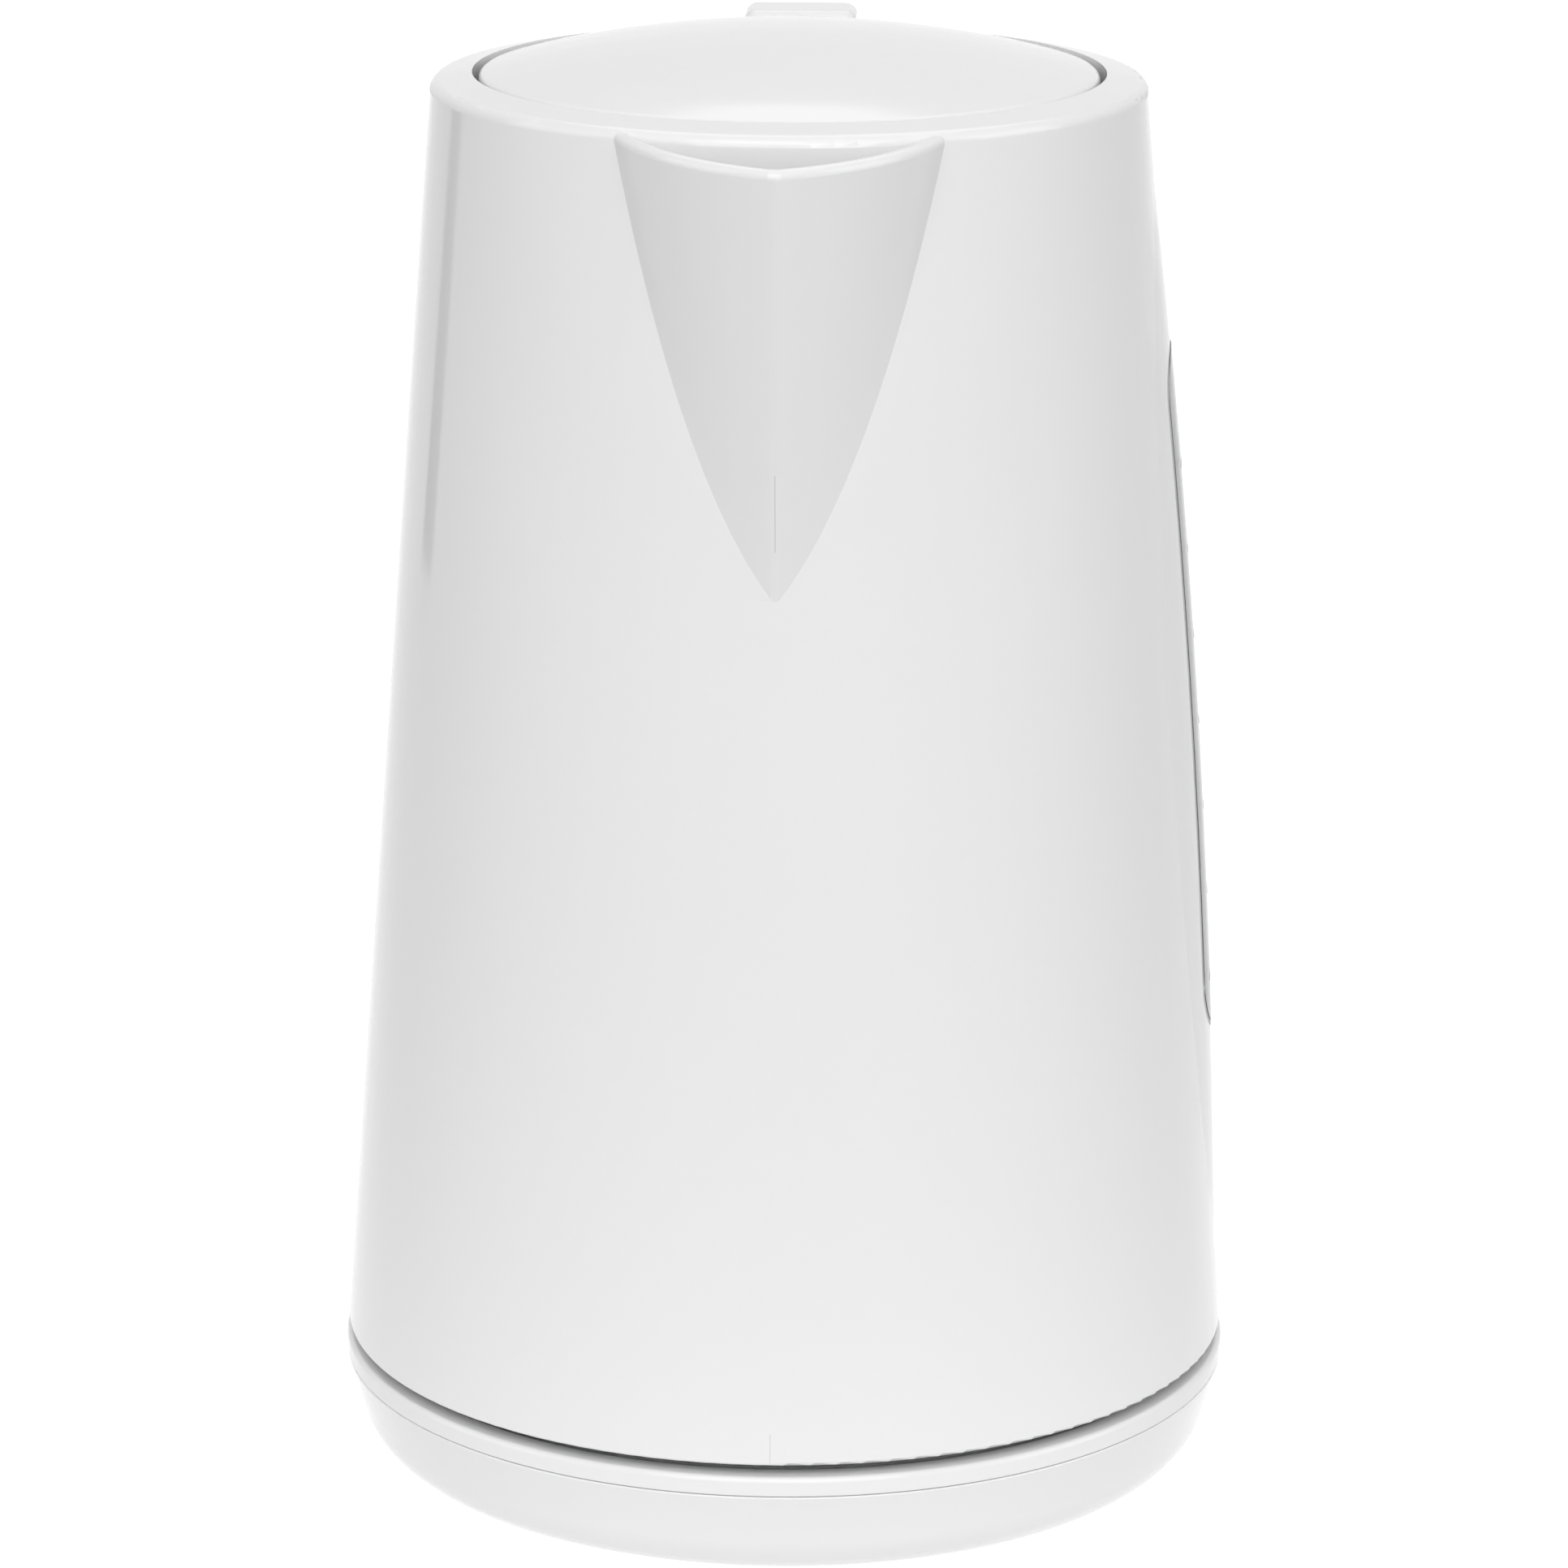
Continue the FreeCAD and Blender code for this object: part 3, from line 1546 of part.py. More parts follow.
def make_bimetal_disc():
    """Snap disc under the steam switch that bows when it is hot."""
    body = start_body("bimetal_disc")
    low = size.switch_block_bottom - size.seat_gap
    middle = size.switch_along
    plane = sketch_on(body, "YZ_Plane")
    axis_line(plane, foot_point(middle, low), foot_point(middle, low - size.bimetal_radius))
    foot_box(plane, middle, middle + size.bimetal_radius, low - size.bimetal_thickness, low)
    revolve(body, plane, "Axis0")
    return body


def make_switch_lever():
    """Rocking paddle at the handle's foot, on a stem with the pivot bore."""
    body = start_body("switch_lever")
    middle = size.switch_along
    paddle = sketch_on(body, "YZ_Plane")
    foot_box(
        paddle,
        middle - size.lever_half_length,
        middle + size.lever_half_length,
        size.lever_bottom,
        size.lever_bottom + size.lever_thickness,
        size.lever_rounding,
    )
    pad(body, paddle, size.lever_half_width * 2, side="Symmetric")
    stem = sketch_on(body, "YZ_Plane")
    foot_box(
        stem,
        middle - size.lever_stem_half_length,
        middle + size.lever_stem_half_length,
        size.lever_stem_bottom,
        size.lever_bottom + size.lever_rounding,
    )
    pad(body, stem, size.lever_stem_half_width * 2, side="Symmetric")
    pivot = foot_point(middle, size.switch_pivot)
    bore = draw_circle(sketch_on(body, "YZ_Plane"), pivot[0], pivot[1], size.switch_pin_radius + size.pin_gap)
    pocket(body, bore, size.lever_half_width * 2, side="Symmetric")
    return body


def make_switch_pin():
    """Steel pin through the steam switch's ears and the lever."""
    body = start_body("switch_pin")
    pivot = foot_point(size.switch_along, size.switch_pivot)
    plane = draw_circle(sketch_on(body, "YZ_Plane"), pivot[0], pivot[1], size.switch_pin_radius)
    pad(body, plane, size.switch_block_half_width * 2, side="Symmetric")
    return body


# The wedge under the button and the latch's ramp lie along one 45 degree line, a running gap apart
ramp_start = button_front + size.wedge_start
ramp_end = ramp_start + size.wedge_length
ramp_foot = latch_top + size.wedge_rise - size.wedge_length
latch_end = ramp_end
latch_spring_length = size.latch_spring_pitch * size.latch_spring_turns
latch_spring_start = latch_end + size.latch_spring_wire + size.seat_gap
latch_spring_end = latch_spring_start + latch_spring_length + size.latch_spring_wire + size.seat_gap


def make_release_button():
    """Hollow cap that is pushed down to free the lid, with a wedge inside and a flange that keeps it in."""
    body = start_body("release_button")
    width, wall = size.button_half_width, size.button_wall
    plan = sketch_on(body, "XY_Plane", button_bottom)
    draw_box(plan, -width, width, button_front, button_rear, size.button_rounding)
    cap = pad(body, plan, size.button_height)
    doc.recompute()
    top = max(
        range(len(cap.Shape.Faces)), key=lambda index: cap.Shape.Faces[index].CenterOfMass.z
    )
    crown = body.newObject("PartDesign::Fillet", "button_crown")
    crown.Base = (cap, [f"Face{top + 1}"])
    bind(crown, "Radius", size.button_rounding - size.run_gap)
    flange = sketch_on(body, "XY_Plane", button_bottom)
    draw_box(
        flange,
        -size.button_flange_half_width,
        size.button_flange_half_width,
        button_front - size.button_flange,
        button_rear + size.button_flange,
    )
    pad(body, flange, size.button_flange_thickness)
    hollow = sketch_on(body, "XY_Plane", button_bottom)
    draw_box(hollow, wall - width, width - wall, button_front + wall, button_rear - wall)
    pocket(body, hollow, size.button_height - wall, back=True)
    gap = size.run_gap
    ceiling = button_top - wall / 2
    wedge = sketch_on(body, "YZ_Plane")
    draw(
        wedge,
        [
            (button_front + wall / 2, ramp_foot + gap),
            (ramp_start, ramp_foot + gap),
            (ramp_end, ramp_foot + gap + size.wedge_length),
            (ramp_end, ceiling),
            (button_front + wall / 2, ceiling),
        ],
    )
    pad(body, wedge, size.wedge_half_width * 2, side="Symmetric")
    return body


def make_lid_latch():
    """Sliding bar: a nose at the lid's catch, and a post with a ramp that the button's wedge pushes back."""
    body = start_body("lid_latch")
    bar = sketch_on(body, "YZ_Plane")
    draw(
        bar,
        [
            (latch_tip, latch_bottom),
            (latch_end, latch_bottom),
            (latch_end, latch_top),
            (latch_tip + size.latch_thickness / 2, latch_top),
            (latch_tip, latch_top - size.latch_thickness / 2),
        ],
    )
    pad(body, bar, size.latch_half_width * 2, side="Symmetric")
    post = sketch_on(body, "YZ_Plane")
    draw(
        post,
        [
            (ramp_start, latch_bottom),
            (latch_end, latch_bottom),
            (latch_end, ramp_foot + size.wedge_length),
            (ramp_start, ramp_foot),
        ],
    )
    pad(body, post, size.wedge_half_width * 2, side="Symmetric")
    return body


def lid_plan(sketch, radius, rear):
    """Outline of the lid from above: a circle cut off straight at the back."""
    half_chord = root(radius * radius - rear * rear)
    return draw(
        sketch,
        [(half_chord, rear), (-half_chord, rear), Bend(radius, 1), (0, -radius), Bend(radius, 1)],
    )


def make_lid_cover():
    """Domed top of the lid with a rounded edge, cut straight at the hinge and hollow below."""
    body = start_body("lid_cover")
    sphere = (lid_radius * lid_radius + size.dome_height * size.dome_height) / (size.dome_height * 2)
    wall = size.lid_wall
    profile = draw(
        sketch_on(body, "XZ_Plane"),
        [(0, lid_seam), (lid_radius, lid_seam), (lid_radius, lid_edge), Bend(sphere, 1), (0, lid_apex)],
    )
    dome = revolve(body, profile)
    doc.recompute()
    edges = [
        f"Edge{number}"
        for number, edge in enumerate(dome.Shape.Edges, start=1)
        if len(edge.Vertexes) == 1 and abs(edge.Vertexes[0].Point.z - lid_edge.value) < 1e-3
    ]
    crown = body.newObject("PartDesign::Fillet", "lid_crown")
    crown.Base = (dome, edges)
    bind(crown, "Radius", size.lid_edge_rounding)
    rear = sketch_on(body, "XY_Plane", lid_seam)
    draw_box(rear, -lid_radius, lid_radius, lid_rear, lid_radius + size.lid_wall)
    pocket(body, rear, lid_apex, back=True)
    inner = sphere - wall
    hollow = size.lid_hollow_radius
    hollow_edge = lid_apex - sphere + root(inner * inner - hollow * hollow)
    inside = draw(
        sketch_on(body, "XZ_Plane"),
        [
            (0, lid_seam - wall),
            (hollow, lid_seam - wall),
            (hollow, hollow_edge),
            Bend(inner, 1),
            (0, lid_apex - wall),
        ],
    )
    groove(body, inside)
    return body


def make_lid_base():
    """Inner plate of the lid with its rim, the two hinge arms with knuckles, and the catch for the latch."""
    body = start_body("lid_base")
    wall = size.lid_wall
    base_top = lid_seam - size.seat_gap
    pad(body, lid_plan(sketch_on(body, "XY_Plane", lid_underside), lid_radius, lid_rear), size.lid_base_height)
    hollow = lid_plan(sketch_on(body, "XY_Plane", lid_underside + wall), lid_radius - wall, lid_rear - wall)
    pocket(body, hollow, size.lid_base_height, back=True)
    arm = draw_box(
        sketch_on(body, "YZ_Plane", size.knuckle_inner),
        lid_rear - wall,
        hinge_y,
        base_top - size.arm_thickness,
        base_top,
    )
    knuckle = draw_circle(
        sketch_on(body, "YZ_Plane", size.knuckle_inner), hinge_y, hinge_z, size.knuckle_radius
    )
    mirror(body, [pad(body, arm, size.knuckle_width), pad(body, knuckle, size.knuckle_width)])
    bore = draw_circle(sketch_on(body, "YZ_Plane"), hinge_y, hinge_z, size.hinge_pin_radius + size.pin_gap)
    pocket(body, bore, pin_half_length * 2, side="Symmetric")
    catch = draw_box(
        sketch_on(body, "YZ_Plane"),
        catch_front,
        catch_rear,
        lid_underside - size.catch_drop,
        lid_underside + wall / 2,
    )
    pad(body, catch, size.catch_half_width * 2, side="Symmetric")
    window = draw_box(
        sketch_on(body, "XZ_Plane"),
        -size.latch_half_width - size.run_gap,
        size.latch_half_width + size.run_gap,
        latch_bottom - size.run_gap,
        latch_top + size.run_gap,
    )
    pocket(body, window, catch_rear + wall)
    return body


def make_lid_hinge_pin():
    """Steel pin through the hinge block and the lid's knuckles."""
    body = start_body("lid_hinge_pin")
    plane = draw_circle(sketch_on(body, "YZ_Plane"), hinge_y, hinge_z, size.hinge_pin_radius)
    pad(body, plane, pin_half_length * 2, side="Symmetric")
    return body


def tangent_arc(start, heading, end):
    """The arc from a point with a heading to another point."""
    chord = end - start
    unit = FreeCAD.Vector(chord).normalize()
    across = heading - unit * heading.dot(unit)
    if across.Length < 1e-9:
        return Part.LineSegment(start, end)
    half = math.acos(max(-1.0, min(1.0, heading.dot(unit)))) / 2
    middle = (start + end) / 2 + across.normalize() * (chord.Length / 2 * math.tan(half))
    return Part.Arc(start, middle, end)


def coil_spring(label, radius, wire, pitch, turns, leg, place):
    """Round-wire spring along +X from its place: a helix of quarter-turn biarcs with a straight leg at each end."""
    radius, wire, pitch, leg = (as_size(number).value for number in (radius, wire, pitch, leg))
    quarters = int(round(as_size(turns).value * 4))

    def spot(quarter):
        angle = quarter * math.pi / 2
        return FreeCAD.Vector(pitch * quarter / 4, radius * math.cos(angle), radius * math.sin(angle))

    def heading(quarter):
        angle = quarter * math.pi / 2
        rise = pitch / (2 * math.pi)
        return FreeCAD.Vector(rise, -radius * math.sin(angle), radius * math.cos(angle)).normalize()

    edges = []
    if leg:
        edges.append(Part.LineSegment(spot(0) - heading(0) * leg, spot(0)).toShape())
    for quarter in range(quarters):
        start, end = spot(quarter), spot(quarter + 1)
        leaving, arriving = heading(quarter), heading(quarter + 1)
        chord, both = end - start, leaving + arriving
        spread = 2 * (1 - leaving.dot(arriving))
        reach = (math.sqrt(chord.dot(both) ** 2 + spread * chord.dot(chord)) - chord.dot(both)) / spread
        joint = (start + end + (leaving - arriving) * reach) / 2
        edges.append(tangent_arc(start, leaving, joint).toShape())
        back = tangent_arc(end, arriving * -1, joint)
        edges.append(back.toShape())
    if leg:
        edges.append(Part.LineSegment(spot(quarters), spot(quarters) + heading(quarters) * leg).toShape())
    path = Part.Wire(Part.__sortEdges__(edges))
    first = spot(0) - heading(0) * leg
    section = Part.Wire(Part.makeCircle(wire, first, heading(0)))
    shape = path.makePipeShell([section], True, False)
    print(f"{label}: gap between turns {pitch - 2 * wire:.2f} mm")
    spring = doc.addObject("Part::Feature", label)
    spring.Label = label
    spring.Shape = shape
    spring.Placement = place
    return spring


def make_lid_spring():
    """Torsion spring round the hinge pin that throws the lid open."""
    length = size.lid_spring_pitch * size.lid_spring_turns
    place = FreeCAD.Placement(
        FreeCAD.Vector(-length.value / 2, hinge_y.value, hinge_z.value),
        FreeCAD.Rotation(FreeCAD.Vector(1, 0, 0), -half_turn / 2),
    )
    return coil_spring(
        "lid_spring",
        size.lid_spring_radius,
        size.lid_spring_wire,
        size.lid_spring_pitch,
        size.lid_spring_turns,
        size.lid_spring_leg,
        place,
    )


def make_latch_spring():
    """Compression spring between the latch and the stop in the handle cover."""
    level = (latch_bottom + latch_top) / 2
    place = FreeCAD.Placement(
        FreeCAD.Vector(0, latch_spring_start.value, level.value),
        FreeCAD.Rotation(FreeCAD.Vector(0, 0, 1), half_turn / 2),
    )
    return coil_spring(
        "latch_spring",
        size.latch_spring_radius,
        size.latch_spring_wire,
        size.latch_spring_pitch,
        size.latch_spring_turns,
        0,
        place,
    )


pieces = [
    make_base_lower_shell(),
    make_base_upper_shell(),
    make_base_connector(),
    make_connector_contacts(),
    make_base_foot_ring(),
    make_base_screws(),
    make_jug_body(),
    make_gauge_gasket(),
    make_gauge_window(),
    make_spout_filter_frame(),
    make_filter_mesh(),
    make_heating_plate(),
    make_plate_seal(),
    make_plate_clamp_ring(),
    make_heat_spreader(),
    make_heating_element(),
    make_control_unit(),
    make_jug_socket(),
    make_socket_pins(),
    make_underside_cover(),
    make_cover_screws(),
    make_handle_frame(),
    make_handle_cover(),
    make_handle_screws(),
    make_steam_tube(),
    make_steam_switch(),
    make_bimetal_disc(),
    make_switch_lever(),
    make_switch_pin(),
    make_release_button(),
    make_lid_latch(),
    make_latch_spring(),
    make_lid_cover(),
    make_lid_base(),
    make_lid_hinge_pin(),
    make_lid_spring(),
]

doc.recompute()
for item in doc.Objects:
    if "Invalid" in item.State or "Error" in item.State:
        raise RuntimeError(f"{item.Label} failed: {item.State}")
for piece in pieces:
    if piece.Shape.isNull() or not piece.Shape.isValid() or not piece.Shape.Solids:
        raise RuntimeError(f"{piece.Label} has no valid solid")
os.makedirs("parts", exist_ok=True)
for piece in pieces:
    piece.Shape.exportStep(f"parts/{piece.Label}.step")
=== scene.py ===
import math

import bpy
import numpy as np
from mathutils import Matrix, Vector


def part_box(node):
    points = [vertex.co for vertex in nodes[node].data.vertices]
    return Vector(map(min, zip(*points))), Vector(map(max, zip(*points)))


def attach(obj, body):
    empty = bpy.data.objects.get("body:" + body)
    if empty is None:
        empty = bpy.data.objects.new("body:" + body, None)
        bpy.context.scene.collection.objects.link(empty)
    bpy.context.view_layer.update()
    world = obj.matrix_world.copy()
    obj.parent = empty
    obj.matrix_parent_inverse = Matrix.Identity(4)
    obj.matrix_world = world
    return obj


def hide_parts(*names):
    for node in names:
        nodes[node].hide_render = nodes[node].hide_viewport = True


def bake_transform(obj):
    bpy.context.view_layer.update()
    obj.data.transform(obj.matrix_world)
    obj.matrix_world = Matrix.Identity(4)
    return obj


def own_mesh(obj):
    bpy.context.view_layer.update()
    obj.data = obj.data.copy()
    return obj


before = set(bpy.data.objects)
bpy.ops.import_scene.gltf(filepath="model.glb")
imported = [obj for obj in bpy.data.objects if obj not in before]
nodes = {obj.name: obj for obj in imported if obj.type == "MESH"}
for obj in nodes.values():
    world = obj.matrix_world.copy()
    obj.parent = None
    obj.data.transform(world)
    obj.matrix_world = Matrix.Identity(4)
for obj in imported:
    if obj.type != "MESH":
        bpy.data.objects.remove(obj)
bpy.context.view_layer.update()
scene = bpy.context.scene


# Foot ring: one grey rubber ring, moulded and pressed into a groove under the base.
# It keeps the base from sliding, and its matte skin holds a little dust,
# so its colour and gloss drift in patches.
def add_group(name, inputs, outputs):
    """A shader node group and its two end nodes; rows give each socket's label, kind and starting value."""
    group = bpy.data.node_groups.new(name, "ShaderNodeTree")
    for label, kind, start in inputs:
        made = group.interface.new_socket(name=label, in_out="INPUT", socket_type="NodeSocket" + kind)
        made.default_value = start
    for label, kind in outputs:
        group.interface.new_socket(name=label, in_out="OUTPUT", socket_type="NodeSocket" + kind)
    return group, group.nodes.new("NodeGroupInput"), group.nodes.new("NodeGroupOutput")


def add_node(tree, kind, **settings):
    """Adds a node of one kind and sets its options, such as its operation."""
    made = tree.nodes.new("ShaderNode" + kind)
    for name, value in settings.items():
        setattr(made, name, value)
    return made


def set_inputs(node, values):
    """Sets inputs that nothing feeds, each by its label or its number."""
    for label, value in values.items():
        node.inputs[label].default_value = value


def link(tree, *ends):
    """Links pairs of sockets: each pair is an output followed by the input that it feeds."""
    for source, target in zip(ends[::2], ends[1::2]):
        tree.links.new(source, target)


noise_range = {"From Min": 0.3, "From Max": 0.7}
patch_detail = 4.0
smear_detail = 6.0
grain_detail = 2.0
smears_per_patch = 3.0
grain_height = 0.0002


def add_finish_group():
    """Moulded skin: colour patches, finer smears of gloss and a fine grain, each from noise in the part."""
    group, given, result = add_group(
        "moulded_finish",
        (
            ("Colour", "Color", (0.8, 0.8, 0.8, 1.0)),
            ("Patch Colour", "Color", (0.7, 0.7, 0.7, 1.0)),
            ("Patch Scale", "Float", 20.0),
            ("Smooth", "Float", 0.2),
            ("Dull", "Float", 0.3),
            ("Grain Scale", "Float", 900.0),
            ("Grain Depth", "Float", 0.1),
        ),
        (("Colour", "Color"), ("Roughness", "Float"), ("Normal", "Vector")),
    )
    place = add_node(group, "TexCoord")
    patches = add_node(group, "TexNoise")
    smears = add_node(group, "TexNoise")
    grain = add_node(group, "TexNoise")
    tint = add_node(group, "Mix", data_type="RGBA")
    gloss = add_node(group, "MapRange")
    finer = add_node(group, "Math", operation="MULTIPLY")
    relief = add_node(group, "Bump")
    set_inputs(patches, {"Detail": patch_detail})
    set_inputs(smears, {"Detail": smear_detail})
    set_inputs(grain, {"Detail": grain_detail})
    set_inputs(gloss, noise_range)
    set_inputs(finer, {1: smears_per_patch})
    set_inputs(relief, {"Distance": grain_height})
    link(
        group,
        place.outputs["Object"], patches.inputs["Vector"],
        place.outputs["Object"], smears.inputs["Vector"],
        place.outputs["Object"], grain.inputs["Vector"],
        given.outputs["Patch Scale"], patches.inputs["Scale"],
        given.outputs["Patch Scale"], finer.inputs[0],
        finer.outputs[0], smears.inputs["Scale"],
        given.outputs["Grain Scale"], grain.inputs["Scale"],
        patches.outputs["Fac"], tint.inputs["Factor"],
        given.outputs["Colour"], tint.inputs["A"],
        given.outputs["Patch Colour"], tint.inputs["B"],
        tint.outputs["Result"], result.inputs["Colour"],
        smears.outputs["Fac"], gloss.inputs["Value"],
        given.outputs["Smooth"], gloss.inputs["To Min"],
        given.outputs["Dull"], gloss.inputs["To Max"],
        gloss.outputs["Result"], result.inputs["Roughness"],
        grain.outputs["Fac"], relief.inputs["Height"],
        given.outputs["Grain Depth"], relief.inputs["Strength"],
        relief.outputs["Normal"], result.inputs["Normal"],
    )
    return group


finish_group = add_finish_group()


def finish(name, *, colour, patch, patch_scale, gloss, grain_scale, grain_depth, **shader_values):
    """A Principled material whose colour, gloss and relief come from the moulded finish.

    gloss is its least and its greatest roughness; the scales are in waves per metre."""
    made = bpy.data.materials.new(name)
    made.use_nodes = True
    tree = made.node_tree
    shader = tree.nodes["Principled BSDF"]
    detail = add_node(tree, "Group", node_tree=finish_group, name="finish")
    set_inputs(detail, {"Colour": (*colour, 1.0), "Patch Colour": (*patch, 1.0)})
    set_inputs(detail, {"Patch Scale": patch_scale, "Smooth": gloss[0], "Dull": gloss[1]})
    set_inputs(detail, {"Grain Scale": grain_scale, "Grain Depth": grain_depth})
    set_inputs(shader, {label.replace("_", " "): value for label, value in shader_values.items()})
    link(
        tree,
        detail.outputs["Colour"], shader.inputs["Base Color"],
        detail.outputs["Roughness"], shader.inputs["Roughness"],
        detail.outputs["Normal"], shader.inputs["Normal"],
    )
    return made


def dress(material, *names):
    """Gives CAD nodes their material."""
    for name in names:
        mesh = nodes[name].data
        mesh.materials.clear()
        mesh.materials.append(material)


grey_rubber = finish(
    "grey_rubber",
    colour=(0.11, 0.112, 0.116),
    patch=(0.16, 0.162, 0.166),
    patch_scale=60.0,
    gloss=(0.62, 0.78),
    grain_scale=1500.0,
    grain_depth=0.4,
)
dress(grey_rubber, "base_foot_ring")

# Base shells: a tray and its lid, injection moulded in white plastic and screwed together from below.
# The skin is polished, with the faint waviness that plastic takes as it shrinks in the mould
# and slow drifts in gloss from handling.
white_gloss = finish(
    "white_gloss",
    colour=(0.87, 0.87, 0.87),
    patch=(0.85, 0.85, 0.85),
    patch_scale=9.0,
    gloss=(0.07, 0.12),
    grain_scale=260.0,
    grain_depth=0.012,
    IOR=1.5,
)
dress(white_gloss, "base_lower_shell", "base_upper_shell")

# Turret of the base: black glass-filled nylon, moulded, clamped between the two shells.
# It carries the live contacts up into the jug, and its skin is matte with a fine grain.
black_nylon = finish(
    "black_nylon",
    colour=(0.025, 0.025, 0.027),
    patch=(0.036, 0.036, 0.038),
    patch_scale=40.0,
    gloss=(0.42, 0.58),
    grain_scale=1800.0,
    grain_depth=0.3,
)
dress(black_nylon, "base_connector")

# Contacts and pins: turned brass, pressed into the turret and the jug's socket.
# Each lift of the jug wipes fine rings into the metal round the swivel axis.
ring_detail = 5.0
ring_height = 0.0001


def add_rings_group():
    """Fine rings about the upright axis: noise along the distance from that axis, as gloss and relief."""
    group, given, result = add_group(
        "turned_rings",
        (
            ("Ring Scale", "Float", 900.0),
            ("Ring Depth", "Float", 0.2),
            ("Smooth", "Float", 0.2),
            ("Dull", "Float", 0.4),
        ),
        (("Roughness", "Float"), ("Normal", "Vector")),
    )
    place = add_node(group, "TexCoord")
    flat = add_node(group, "VectorMath", operation="MULTIPLY")
    radius = add_node(group, "VectorMath", operation="LENGTH")
    rings = add_node(group, "TexNoise", noise_dimensions="1D")
    gloss = add_node(group, "MapRange")
    relief = add_node(group, "Bump")
    set_inputs(flat, {1: (1.0, 1.0, 0.0)})
    set_inputs(rings, {"Detail": ring_detail})
    set_inputs(gloss, noise_range)
    set_inputs(relief, {"Distance": ring_height})
    link(
        group,
        place.outputs["Object"], flat.inputs[0],
        flat.outputs["Vector"], radius.inputs[0],
        radius.outputs["Value"], rings.inputs["W"],
        given.outputs["Ring Scale"], rings.inputs["Scale"],
        rings.outputs["Fac"], gloss.inputs["Value"],
        given.outputs["Smooth"], gloss.inputs["To Min"],
        given.outputs["Dull"], gloss.inputs["To Max"],
        gloss.outputs["Result"], result.inputs["Roughness"],
        rings.outputs["Fac"], relief.inputs["Height"],
        given.outputs["Ring Depth"], relief.inputs["Strength"],
        relief.outputs["Normal"], result.inputs["Normal"],
    )
    return group


rings_group = add_rings_group()


def turn_rings(material, *, ring_scale, ring_depth, gloss):
    """Puts turning rings on a metal in place of its plain grain."""
    tree = material.node_tree
    shader = tree.nodes["Principled BSDF"]
    turned = add_node(tree, "Group", node_tree=rings_group, name="rings")
    set_inputs(turned, {"Ring Scale": ring_scale, "Ring Depth": ring_depth})
    set_inputs(turned, {"Smooth": gloss[0], "Dull": gloss[1]})
    link(
        tree,
        turned.outputs["Roughness"], shader.inputs["Roughness"],
        turned.outputs["Normal"], shader.inputs["Normal"],
    )


turned_brass = finish(
    "turned_brass",
    colour=(0.66, 0.42, 0.14),
    patch=(0.58, 0.35, 0.1),
    patch_scale=300.0,
    gloss=(0.2, 0.4),
    grain_scale=2500.0,
    grain_depth=0.1,
    Metallic=1.0,
)
turn_rings(turned_brass, ring_scale=2600.0, ring_depth=0.25, gloss=(0.16, 0.36))
dress(turned_brass, "connector_contacts", "socket_pins")

# Screws: zinc-plated steel with pan heads, driven from below into the base, the jug and the handle.
# The plating is bright and slightly clouded.
plated_steel = finish(
    "plated_steel",
    colour=(0.56, 0.56, 0.55),
    patch=(0.48, 0.48, 0.49),
    patch_scale=220.0,
    gloss=(0.22, 0.4),
    grain_scale=3000.0,
    grain_depth=0.1,
    Metallic=1.0,
)
dress(plated_steel, "base_screws", "cover_screws", "handle_screws")


# Jug: one white moulding with the cone, the spout, the rim ring and the seat for the heater.
# It shares the polish of the base, and where the two mould halves met, a hair line
# runs down the spout's ridge and shows again at the front of the foot.
def add_mould_line_group():
    """A hair line up the front: 1 close to the middle plane where y is negative, between two heights."""
    group, given, result = add_group(
        "mould_line",
        (
            ("Foot", "Float", 0.0),
            ("Head", "Float", 0.1),
            ("Half Width", "Float", 0.0001),
            ("Strength", "Float", 1.0),
        ),
        (("Mask", "Float"),),
    )
    place = add_node(group, "TexCoord")
    axes = add_node(group, "SeparateXYZ")
    beside = add_node(group, "Math", operation="ABSOLUTE")
    near = add_node(group, "Math", operation="LESS_THAN")
    front = add_node(group, "Math", operation="LESS_THAN")
    over = add_node(group, "Math", operation="GREATER_THAN")
    under = add_node(group, "Math", operation="LESS_THAN")
    set_inputs(front, {1: 0.0})
    link(
        group,
        place.outputs["Object"], axes.inputs[0],
        axes.outputs["X"], beside.inputs[0],
        beside.outputs[0], near.inputs[0],
        given.outputs["Half Width"], near.inputs[1],
        axes.outputs["Y"], front.inputs[0],
        axes.outputs["Z"], over.inputs[0],
        given.outputs["Foot"], over.inputs[1],
        axes.outputs["Z"], under.inputs[0],
        given.outputs["Head"], under.inputs[1],
    )
    product = near.outputs[0]
    for factor in (front.outputs[0], over.outputs[0], under.outputs[0], given.outputs["Strength"]):
        times = add_node(group, "Math", operation="MULTIPLY")
        link(group, product, times.inputs[0], factor, times.inputs[1])
        product = times.outputs[0]
    link(group, product, result.inputs["Mask"])
    return group


mould_line_group = add_mould_line_group()
line_colour = (0.4, 0.4, 0.4, 1.0)
spout_line = {"Foot": 0.173, "Head": 0.186, "Strength": 0.35}
foot_line = {"Foot": 0.0225, "Head": 0.0275, "Strength": 0.25}
jug_white = white_gloss.copy()
jug_white.name = "jug_white"
tree = jug_white.node_tree
either = add_node(tree, "Math", operation="MAXIMUM")
for number, ends in enumerate((spout_line, foot_line)):
    hair_line = add_node(tree, "Group", node_tree=mould_line_group)
    set_inputs(hair_line, ends)
    link(tree, hair_line.outputs["Mask"], either.inputs[number])
marked = add_node(tree, "Mix", data_type="RGBA")
set_inputs(marked, {"B": line_colour})
link(
    tree,
    either.outputs[0], marked.inputs["Factor"],
    tree.nodes["finish"].outputs["Colour"], marked.inputs["A"],
    marked.outputs["Result"], tree.nodes["Principled BSDF"].inputs["Base Color"],
)
